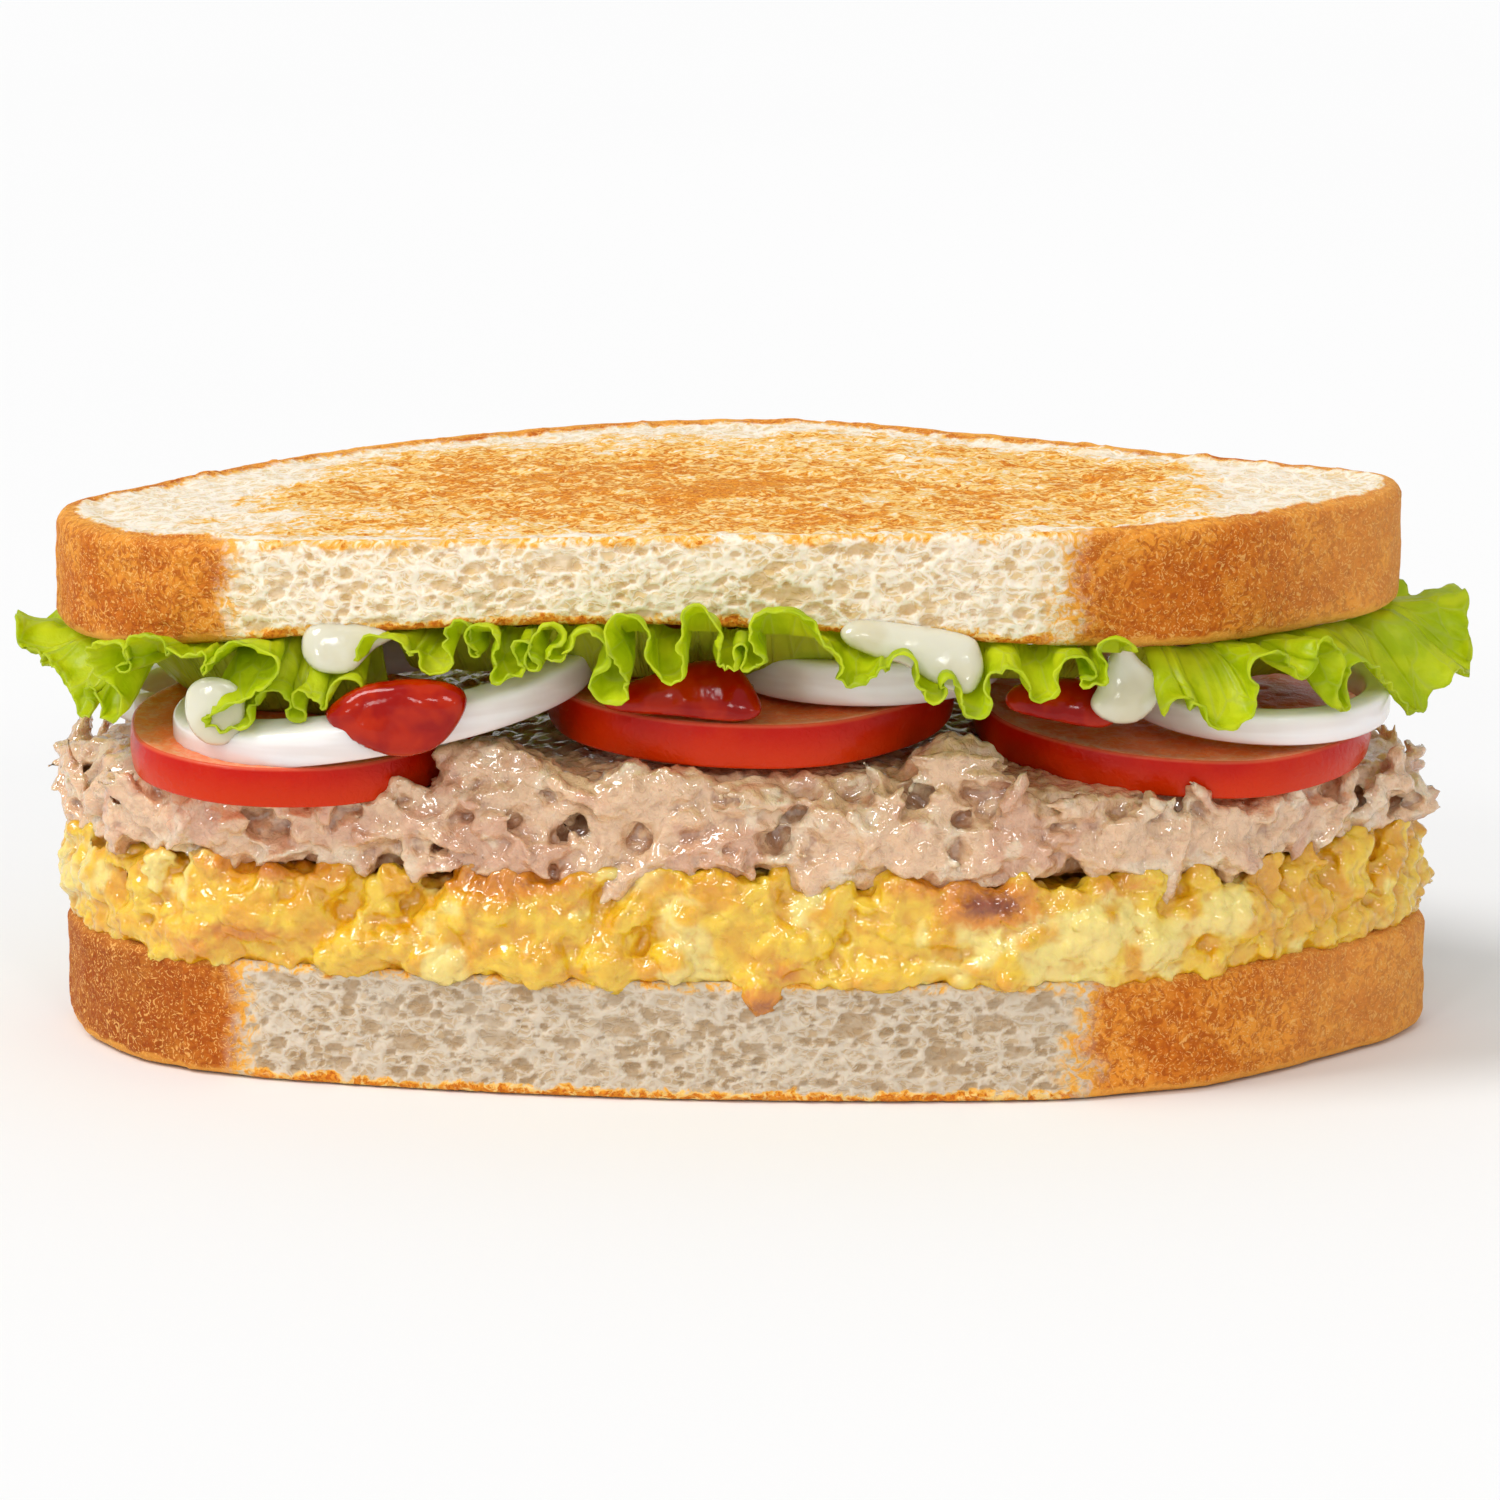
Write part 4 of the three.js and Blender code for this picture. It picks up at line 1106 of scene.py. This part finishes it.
def leaf_piece(name, turns, material, seed):
    """A thin ruffled sheet with a rough free edge."""
    grid = leaf_rows(turns, LEAF_INNER[name], seed)
    rows, columns = grid.shape[:2]
    normal = np.cross(np.gradient(grid, axis=0), np.gradient(grid, axis=1))
    normal /= np.maximum(np.linalg.norm(normal, axis=-1, keepdims=True), 1e-9)
    wrinkle = noises(grid.reshape(-1, 3), (0.24, 3.2, 11), (0.1, 1.5, 12)).reshape(rows, columns)
    grid = grid + normal * wrinkle[..., None]
    sides = [grid + normal * LEAF_SHEET / 2, grid - normal * LEAF_SHEET / 2]
    index = np.arange(rows * columns).reshape(rows, columns)
    upper = sheet_faces(index)[:, [0, 3, 2, 1]]
    border = np.concatenate([index[0, :-1], index[:-1, -1], index[-1, :0:-1], index[:0:-1, 0]])
    after = np.roll(border, -1)
    edge = np.stack([border, after, after + index.size, border + index.size], axis=1)
    faces = np.concatenate([upper, upper[:, ::-1] + index.size, edge])
    mesh = new_mesh(name, np.concatenate(sides).reshape(-1, 3), faces)
    u = np.tile(np.arange(columns) * LEAF_STEP / LEAF_MAP, 2 * rows)
    v = np.tile(np.repeat(LEAF_LEVELS, columns), 2)
    paint(mesh, "leaf", v)
    give_map(mesh, u, v)
    return add_piece(f"{name}_leaf", mesh, material, "lettuce", name)


def give_map(mesh, u, v):
    """A map of the leaf: along its rim, and from its base to its free edge."""
    corners = mesh_corners(mesh)
    layer = mesh.uv_layers.new(name="leaf_map")
    layer.data.foreach_set("uv", np.stack([u[corners], v[corners]], axis=1).ravel())


# Sauces: each drop's outline as seen from the front, as (x, height); how far outside the bread's
# rim it lies, how far it bulges forwards, how deep it reaches back, and how it leans out downwards.
SAUCES = {
    "mayonnaise_left_top": ([
        (-52.3, 54.6), (-52.5, 53.4), (-52.3, 52), (-51.2, 50.8), (-49.7, 50.3), (-47.4, 50.3),
        (-45.9, 51), (-44.9, 52.2), (-43.8, 53.4), (-42.4, 54.1), (-41.3, 54.8), (-43.3, 55.8),
        (-47.4, 56.2), (-51.2, 55.9),
    ], 0.8, 1.2, 3, 0.3),
    "mayonnaise_left_drip": ([
        (-65.8, 48.4), (-66.4, 46.4), (-66.2, 44.2), (-65.2, 42.4), (-63.4, 41.4), (-61.2, 41.6),
        (-59.8, 43), (-59, 45.4), (-59.2, 48), (-61.1, 49.4), (-63.7, 49.6),
    ], 3.9, 0.6, 2.6, 0.1),
    "mayonnaise_middle": ([
        (10.2, 56.7), (11, 55.4), (12.8, 54.6), (15.1, 53.7), (17.4, 53.5), (19, 52.5), (21.1, 51.2),
        (23.2, 50.3), (25.2, 49.8), (26.4, 50.8), (27.1, 52.7), (26.7, 54.6), (26, 56.2), (22, 57.1),
        (17.4, 57.7), (13.3, 58.2), (11.4, 57.9),
    ], 1.6, 1.3, 3.6, 0.4),
    "mayonnaise_right": ([
        (42.3, 54.1), (41.2, 51.2), (40.3, 49), (39.4, 47.6), (40.3, 46.1), (42.2, 45.1), (44.3, 44.9),
        (46.1, 45.5), (47.4, 46.9), (48.1, 48.5), (47.9, 50), (46.6, 51.2), (45.2, 52.4), (44.3, 53.9),
    ], -1.6, 1.8, 4, 0.15),
    "ketchup_left": ([
        (-49.9, 45.9), (-48.1, 43.8), (-45.9, 42.8), (-43.5, 41.8), (-40.9, 41.3), (-38.6, 41.7),
        (-36.5, 42.6), (-34.9, 44.1), (-33.6, 46), (-32.8, 47.8), (-32.9, 49.2), (-34.9, 50.3),
        (-37.8, 50.6), (-41.3, 50.3), (-44.4, 49.7), (-46.8, 48.7), (-48.6, 47.3),
    ], 4, 1.7, 5, 0.1),
    "ketchup_middle": ([
        (-17.6, 47.4), (-16.6, 46.3), (-13, 46), (-9, 45.9), (-5, 45.5), (-1.6, 45.3), (0.8, 45.7),
        (1.5, 46.7), (0.9, 48.2), (-0.1, 49.8), (-1.4, 51.2), (-4, 52), (-8, 51.4), (-12, 50),
        (-15.6, 48.8),
    ], -3.6, 1.4, 5, 0.5),
    "ketchup_right": ([
        (29.6, 47.6), (30.2, 46.3), (32.6, 45.6), (35.8, 45), (39, 44.3), (41.8, 44.1), (43, 45),
        (42.6, 46.8), (41, 48.6), (38, 49.6), (34, 49.6), (31, 48.9),
    ], -4.6, 1.4, 5, 0.5),
}
SAUCE_PITCH = 0.36


def closed_curve(corners, step):
    """A closed curve round rounded corners, anticlockwise, with points at even steps."""
    points = np.array(corners, float)
    for _ in range(4):
        points = corners_cut(points, np.roll(points, -1, axis=0))
    return even_line(np.concatenate([points, points[:1]]), step)[:-1]


def spots_inside(curve, pitch):
    """Points spread evenly inside a closed curve, and how far from it each one lies."""
    low, high = curve.min(axis=0), curve.max(axis=0)
    x, y = np.meshgrid(np.arange(low[0], high[0], pitch), np.arange(low[1], high[1], pitch))
    spots = np.stack([x.ravel(), y.ravel()], axis=1)
    a, b = curve[None], np.roll(curve, -1, axis=0)[None]
    px, py = spots[:, None, 0], spots[:, None, 1]
    crossed = (a[..., 1] > py) != (b[..., 1] > py)
    run = np.where(crossed, b[..., 1] - a[..., 1], 1)
    crossed &= px < a[..., 0] + (b[..., 0] - a[..., 0]) * (py - a[..., 1]) / run
    gap = np.sqrt(((spots[:, None] - a) ** 2).sum(axis=2).min(axis=1))
    keep = (crossed.sum(axis=1) % 2 == 1) & (gap > 0.5 * pitch)
    return spots[keep], gap[keep]


def sauce_piece(name, material):
    """A smooth drop that hangs from its outline, bulging forwards and back."""
    corners, out, bulge, depth, lean = SAUCES[name]
    curve = closed_curve(corners, SAUCE_PITCH)
    spots, gap = spots_inside(curve, SAUCE_PITCH)
    swell = np.sqrt(1 - (1 - np.clip(gap / 2.6, 0, 1)) ** 2)
    level = curve[:, 1].mean()

    def placed(flat, forwards):
        y = np.interp(flat[:, 0], FRONT_X, FRONT_Y) - out - forwards - lean * (level - flat[:, 1])
        return np.stack([flat[:, 0], y, flat[:, 1]], axis=1)

    wobble = 1 + 0.22 * noise(placed(spots, 0 * gap), 3.4, 40)
    points = [placed(curve, 0), placed(spots, bulge * swell * wobble), placed(spots, -depth * swell)]
    fill = fill_face(curve, spots)
    shift = np.where(fill >= len(curve), len(spots), 0)
    mesh = new_mesh(name, np.concatenate(points), np.concatenate([fill, (fill + shift)[:, ::-1]]))
    return add_piece(f"{name}_sauce", mesh, material, name.split("_")[0], name)


# Materials


def colour(red, green, blue):
    """A colour given as it looks on a screen, from 0 to 255."""
    parts = [v / 255 for v in (red, green, blue)]
    return (*[v / 12.92 if v <= 0.04045 else ((v + 0.055) / 1.055) ** 2.4 for v in parts], 1)


class Look:
    """A material under construction, with short calls for the nodes it needs."""

    def __init__(self, name):
        self.material = bpy.data.materials.new(name)
        self.material.use_nodes = True
        self.tree = self.material.node_tree
        self.tree.nodes.clear()
        self.place = self.add("ShaderNodeTexCoord").outputs["Object"]

    def add(self, kind, inputs=None, **settings):
        node = self.tree.nodes.new(kind)
        for key, value in settings.items():
            setattr(node, key, value)
        for key, value in (inputs or {}).items():
            self.put(node.inputs[key], value)
        return node

    def put(self, socket, value):
        """Joins an output to a socket, or sets a number or a screen colour on it."""
        if isinstance(value, bpy.types.NodeSocket):
            self.tree.links.new(value, socket)
        else:
            socket.default_value = colour(*value) if socket.type == "RGBA" else value

    def masks(self, name):
        """The three masks that were painted on the mesh under a name."""
        layer = self.add("ShaderNodeAttribute", attribute_name=name)
        return self.add("ShaderNodeSeparateColor", {"Color": layer.outputs["Color"]}).outputs[:3]

    def noise(self, size, detail, distortion=0.0, place=None, output="Fac"):
        """Noise whose patches are about size millimetres across."""
        inputs = {"Vector": place or self.place, "Scale": 1 / (size * MM)}
        inputs.update({"Detail": detail, "Distortion": distortion})
        return self.add("ShaderNodeTexNoise", inputs).outputs[output]

    def cells(self, size, feature="F1", place=None):
        inputs = {"Vector": place or self.place, "Scale": 1 / (size * MM)}
        return self.add("ShaderNodeTexVoronoi", inputs, feature=feature).outputs["Distance"]

    def scaled(self, vector, *by):
        return self.add("ShaderNodeVectorMath", {0: vector, 1: by}, operation="MULTIPLY").outputs[0]

    def step(self, value, low, high, least=0.0, most=1.0):
        """A number from least to most as the value goes from low to high."""
        inputs = {"Value": value, "From Min": low, "From Max": high, "To Min": least, "To Max": most}
        return self.add("ShaderNodeMapRange", inputs, interpolation_type="SMOOTHSTEP").outputs["Result"]

    def math(self, operation, first, second):
        return self.add("ShaderNodeMath", {0: first, 1: second}, operation=operation).outputs[0]

    def swayed(self, value, wave, amount):
        """The value, moved up and down by a wave from 0 to 1."""
        return self.math("ADD", value, self.math("MULTIPLY", self.math("SUBTRACT", wave, 0.5), amount))

    def mix(self, share, first, second):
        node = self.add("ShaderNodeMix", {"Factor": share}, data_type="RGBA")
        # A colour mix keeps its two colours in these sockets.
        self.put(node.inputs[6], first)
        self.put(node.inputs[7], second)
        return node.outputs[2]

    def tinted(self, surface, *tints):
        """The surface with tints laid over it, each given as a colour and what step needs."""
        for tint, *step in tints:
            surface = self.mix(self.step(*step), surface, tint)
        return surface

    def bump(self, height, depth):
        """Relief about depth millimetres deep."""
        return self.add("ShaderNodeBump", {"Height": height, "Distance": depth * MM}).outputs["Normal"]

    def skin(self, surface, roughness, normal=None, specular=0.5, under=(), coat=()):
        """The surface's shader. What shows from under it is a weight, a distance in metres and how
        far each colour goes; the coat is a weight, a roughness and an index of refraction."""
        inputs = {"Base Color": surface, "Roughness": roughness, "Specular IOR Level": specular}
        inputs.update(zip(("Subsurface Weight", "Subsurface Scale", "Subsurface Radius"), under))
        inputs.update(zip(("Coat Weight", "Coat Roughness", "Coat IOR"), coat))
        if normal is not None:
            inputs["Normal"] = normal
        return self.add("ShaderNodeBsdfPrincipled", inputs).outputs[0]

    def finished(self, shader):
        """The material, with a shader as its surface."""
        self.add("ShaderNodeOutputMaterial", {"Surface": shader})
        return self.material

    def covered(self, *skin):
        """The material, with only its skin as its surface."""
        return self.finished(self.skin(*skin))


def crumb_look(look, pore, light, dark, shade):
    """Pale crumb with darker walls and pores, and the net of its walls. The darker cells between the pale
    net are partly the crumb's own tone and partly painted shade, and the pore mask lays painted shade
    deepest in the pores.
    """
    drift = look.scaled(look.noise(5 / 3, 2, output="Color"), 0.0016, 0.0016, 0.0016)
    place = look.scaled(look.place, 0.62, 0.62, 1.1)
    place = look.add("ShaderNodeVectorMath", {0: place, 1: drift}).outputs[0]
    wide = look.step(look.cells(1.9, "DISTANCE_TO_EDGE", place), 0.02, 0.2, 1, 0)
    small = look.step(look.cells(0.85, "DISTANCE_TO_EDGE", place), 0.02, 0.2, 0.75, 0)
    net = look.math("MAXIMUM", wide, small)
    crumb = look.tinted(
        look.mix(net, dark, light),
        # The shade colour, laid where the pore mask is high, is painted shade.
        (shade, pore, 0.2, 0.95, 0, 0.7),
        (light, look.noise(9, 2), 0.4, 0.7, 0, 0.35),
    )
    return crumb, net


def rind_look(look, toast, grain, dark_end):
    """Mottled crust, darker at its left end and paler at its right."""
    x = look.add("ShaderNodeSeparateXYZ", {0: look.place}).outputs["X"]
    return look.tinted(
        (204, 110, 18),
        ((232, 150, 48), look.noise(12, 3, 0.8), 0.4, 0.62),
        ((174, 80, 6), grain, 0.42, 0.62, 0, 0.75),
        ((142, 62, 10), x, -0.078, -0.052, dark_end, 0),
        ((236, 166, 88), x, 0.055, 0.075, 0, 0.4),
        ((238, 180, 100), look.noise(1.1, 2, 3.4), 0.55, 0.64, 0, 0.75),
        ((238, 168, 70), toast, 0.0, 0.6, 0, 0.7),
    )


def bread_material(name, light, dark, shade, dark_end):
    """Crumb with darker pores in painted shade, mottled crust and golden toasting."""
    look = Look(name)
    crust, pore, toast = look.masks("bread")
    grain = look.noise(1.4, 4, 1.4)
    crumb, net = crumb_look(look, pore, light, dark, shade)
    streaks = look.noise(1.5, 5, 1.6)
    gold = look.tinted((246, 204, 122), ((240, 176, 70), streaks, 0.4, 0.6))
    brown = look.tinted((228, 144, 34), ((198, 102, 8), look.noise(0.9, 3, 2.0), 0.42, 0.6))
    cloud = look.swayed(toast, look.noise(4.2, 4, 1.2), 1.6)
    spotted = look.swayed(cloud, streaks, 2.6)
    toasted = look.tinted(gold, (brown, spotted, 0.5, 0.9, 0, 0.95))
    reached = look.math("MULTIPLY", look.step(spotted, -0.1, 0.5), look.step(toast, 0.02, 0.2))
    surface = look.tinted(
        look.mix(reached, crumb, toasted),
        (look.tinted(crumb, (gold, streaks, 0.4, 0.6)), crust, 0.02, 0.5),
        (rind_look(look, toast, grain, dark_end), crust, 0.35, 0.9),
    )
    rough = look.mix(0.4, look.mix(0.5, look.noise(0.7, 4, 0.6), grain), net)
    under = (0.5, 0.0012, (1.0, 0.75, 0.5))
    return look.covered(surface, 0.85, look.bump(rough, 0.26), 0.25, under)


def egg_material():
    look = Look("scrambled_egg")
    brown, pale, hollow = look.masks("egg")
    fried = look.swayed(brown, look.noise(1.6, 4, 1.0), 0.6)
    surface = look.tinted(
        (226, 162, 0),
        ((238, 198, 44), look.noise(4.5, 3, 0.6), 0.35, 0.65),
        ((244, 228, 142), pale, 0.2, 1.0, 0, 0.7),
        # Deeper yellow in the creases: painted shade.
        ((228, 162, 8), hollow, 0.58, 0.95, 0, 0.65),
        ((220, 138, 6), fried, 0.14, 0.6),
        ((142, 62, 4), fried, 0.55, 1.0),
    )
    rough = look.step(look.noise(2.4, 2), 0.35, 0.65, 0.22, 0.38)
    bubbles = look.mix(0.6, look.noise(1.5, 4, 0.5), look.step(look.cells(1.7), 0, 0.7, 1, 0))
    under = (0.35, 0.0012, (1.0, 0.62, 0.2))
    return look.covered(surface, rough, look.bump(bubbles, 0.5), 0.4, under, (0.65, 0.09, 1.8))


def tuna_material():
    look = Look("tuna_mayonnaise")
    pink, cream, hollow = look.masks("tuna")
    threads = look.noise(1.1, 4, 3.0)
    surface = look.tinted(
        (234, 192, 150),
        ((220, 168, 130), pink, 0.1, 0.9),
        ((240, 214, 180), cream, 0.3, 1.0, 0, 0.8),
        # Brown in the hollows: painted shade.
        ((168, 104, 60), hollow, 0.7, 1.1, 0, 0.8),
        ((192, 140, 108), threads, 0.56, 0.7, 0, 0.3),
    )
    rough = look.step(look.noise(2.0, 2), 0.35, 0.65, 0.16, 0.3)
    fibres = look.mix(0.4, look.step(look.cells(1.8), 0, 0.7, 1, 0), threads)
    under = (0.4, 0.0014, (1.0, 0.6, 0.4))
    return look.covered(surface, rough, look.bump(fibres, 0.75), 0.5, under, (0.9, 0.09, 1.9))


def tomato_material():
    look = Look("tomato")
    face, depth, height = look.masks("tomato")
    skin = look.tinted(
        (208, 50, 4),
        ((192, 18, 0), height, 0.1, 0.95),
        ((206, 50, 2), look.noise(6, 3), 0.4, 0.7, 0, 0.4),
        # A paler line along the top of the wall: a painted highlight.
        ((238, 120, 84), height, 0.9, 1.0, 0, 0.6),
    )
    grains = look.noise(0.9, 4, 1.0)
    # The flesh's tones are its own, made lighter and more orange with painted light and painted wet
    # reflection, for the cut faces lie in shade under the bread.
    flesh = look.tinted(
        (255, 132, 70),
        ((255, 172, 122), grains, 0.42, 0.66),
        ((248, 94, 42), depth, 0.1, 0.9, 0, 0.5),
    )
    surface = look.tinted(skin, (flesh, face, 0.2, 0.8))
    # A pale line round the rims of the cut faces: a painted highlight.
    line = look.math("MULTIPLY", face, look.step(depth, 0.0, 0.06, 1, 0))
    surface = look.mix(look.math("MULTIPLY", line, 0.7), surface, (240, 150, 116))
    rough = look.step(face, 0, 1, 0.24, 0.3)
    specular = look.step(face, 0, 1, 0.14, 0.3)
    under = (0.2, 0.0016, (1.0, 0.22, 0.1))
    return look.covered(surface, rough, look.bump(grains, 0.14), specular, under, (0.1, 0.08))


def onion_material():
    look = Look("onion")
    _, upside, _ = look.masks("onion")
    layers = look.noise(3.2, 2, 0.2, look.scaled(look.place, 0.2, 0.2, 1.6))
    surface = look.tinted(
        (246, 240, 238),
        ((234, 224, 220), layers, 0.35, 0.65),
        ((244, 240, 230), upside, 0.6, 1.0, 0, 0.5),
        ((236, 212, 206), upside, 0.0, 0.4, 0.6, 0),
    )
    relief = look.bump(look.noise(2.6, 2), 0.1)
    return look.covered(surface, 0.2, relief, 0.5, (0.7, 0.003, (1.0, 0.88, 0.78)), (0.35, 0.08))


def lettuce_material():
    """A leaf that light shines through, with pale veins."""
    look = Look("lettuce")
    reach, _, _ = look.masks("leaf")
    leaf_map = look.add("ShaderNodeUVMap", uv_map="leaf_map").outputs["UV"]
    inputs = {"Vector": look.scaled(leaf_map, 1.6, 1.1, 1), "Scale": 3.2}
    veins = look.add("ShaderNodeTexVoronoi", inputs, feature="DISTANCE_TO_EDGE").outputs["Distance"]
    surface = look.tinted(
        (230, 240, 36),
        ((198, 218, 12), look.noise(5, 3, 0.5), 0.36, 0.64),
        ((206, 214, 70), reach, 0.2, 0.7, 0.6, 0),
        ((204, 212, 104), veins, 0.0, 0.045, 0.4, 0),
        ((226, 234, 90), reach, 0.985, 1.0, 0, 0.2),
    )
    normal = look.bump(look.mix(0.5, look.step(veins, 0.0, 0.16, 1, 0), look.noise(1.6, 3, 0.6)), 0.3)
    skin = look.skin(surface, 0.34, normal, 0.25, coat=(0.1, 0.15))
    inputs = {"Color": look.mix(0.6, surface, (216, 232, 20)), "Normal": normal}
    glow = look.add("ShaderNodeBsdfTranslucent", inputs).outputs[0]
    return look.finished(look.add("ShaderNodeMixShader", {0: 0.5, 1: skin, 2: glow}).outputs[0])


def mayonnaise_material():
    look = Look("mayonnaise")
    surface = look.tinted((218, 214, 194), ((210, 202, 174), look.noise(6, 2), 0.4, 0.65))
    relief = look.bump(look.noise(2.2, 2), 0.12)
    return look.covered(surface, 0.16, relief, 0.5, (0.6, 0.002, (1.0, 0.9, 0.6)), (0.4, 0.05))


def ketchup_material():
    look = Look("ketchup")
    surface = look.tinted((152, 10, 0), ((178, 36, 0), look.noise(4, 2, 0.4), 0.4, 0.66))
    relief = look.bump(look.noise(2.0, 2), 0.1)
    return look.covered(surface, 0.12, relief, 0.2, (0.1, 0.0016, (1.0, 0.15, 0.04)), (0.12, 0.03))


# The studio


def stage_floor():
    bpy.ops.mesh.primitive_plane_add(size=12, location=(0, 0, -0.0002))
    floor = bpy.context.object
    floor.name = "studio_floor"
    look = Look("studio_floor")
    light_grey, dark_grey = 3 * (244.04,), 3 * (242.848,)
    paper = look.tinted(dark_grey, (light_grey, look.noise(400, 2), 0.2, 0.8))
    floor.data.materials.append(look.covered(paper, 0.9, None, 0.1))


def sun_light(name, direction, strength, width):
    lamp = bpy.data.lights.new(name, "SUN")
    lamp.energy = strength
    lamp.angle = math.radians(width)
    add_holder(name, lamp, Vector(direction))


def add_holder(name, data, back):
    """An object for a light or a camera, facing away from a direction."""
    holder = bpy.data.objects.new(name, data)
    bpy.context.scene.collection.objects.link(holder)
    holder.rotation_mode = "QUATERNION"
    holder.rotation_quaternion = (-back).to_track_quat("-Z", "Y")
    return holder


def studio_light():
    scene = bpy.context.scene
    scene.view_settings.view_transform = "Standard"
    scene.view_settings.look = "None"
    world = bpy.data.worlds.new("studio")
    scene.world = world
    world.use_nodes = True
    sky = world.node_tree.nodes["Background"]
    sky.inputs["Color"].default_value = (1, 1, 1, 1)
    sky.inputs["Strength"].default_value = WORLD_LIGHT
    for name, how in LIGHTS.items():
        sun_light(name, *how)


def place_camera():
    camera = bpy.data.cameras.new("camera")
    camera.lens = CAMERA_LENS
    camera.sensor_width = 36
    camera.clip_start = 0.05
    camera.clip_end = 30
    rise = math.radians(CAMERA_ELEVATION)
    back = Vector((0, -math.cos(rise), math.sin(rise)))
    holder = add_holder("camera", camera, back)
    holder.location = (Vector(CAMERA_TARGET) + back * CAMERA_DISTANCE) * MM
    bpy.context.scene.camera = holder


# Assembly

place_camera()
studio_light()
stage_floor()

upper_bread = bread_material("upper_bread", (246, 234, 214), (228, 198, 148), (212, 172, 108), 0.15)
# The lower slice's crumb colours are darker and greyer than the upper's: painted shade, for the slice lies
# in shade under the fillings.
shaded_lower_bread = bread_material("shaded_lower_bread", (214, 200, 180), (196, 170, 136), (172, 140, 100), 0.75)
bottom_slice = bread_mesh("bottom_slice", lambda x, y: 0 * x, lambda x, y: 0 * x + LOWER_TOP, 5, 1.9, 1.7)
top_slice = bread_mesh("top_slice", upper_underside, upper_top, 17, 1.7, 1.0, UPPER_NARROWING)
add_piece("bottom_slice", bottom_slice, shaded_lower_bread, "bread", "bottom_bread")
add_piece("top_slice", top_slice, upper_bread, "bread", "top_bread")
egg_piece(egg_material())
tuna_piece(tuna_material())
red_flesh = tomato_material()
for tomato in TOMATOES:
    tomato_piece(tomato, red_flesh)
white_rings = onion_material()
for onion in ONIONS:
    onion_piece(onion, white_rings)
green_leaves = lettuce_material()
all_turns = {**LEAF_TURNS, **{leaf: back_turns(*ends) for leaf, ends in BACK_LEAVES.items()}}
for seed, (leaf, turns) in enumerate(all_turns.items()):
    leaf_piece(leaf, turns, green_leaves, seed)
sauce_looks = {"mayonnaise": mayonnaise_material(), "ketchup": ketchup_material()}
for sauce in SAUCES:
    sauce_piece(sauce, sauce_looks[sauce.split("_")[0]])
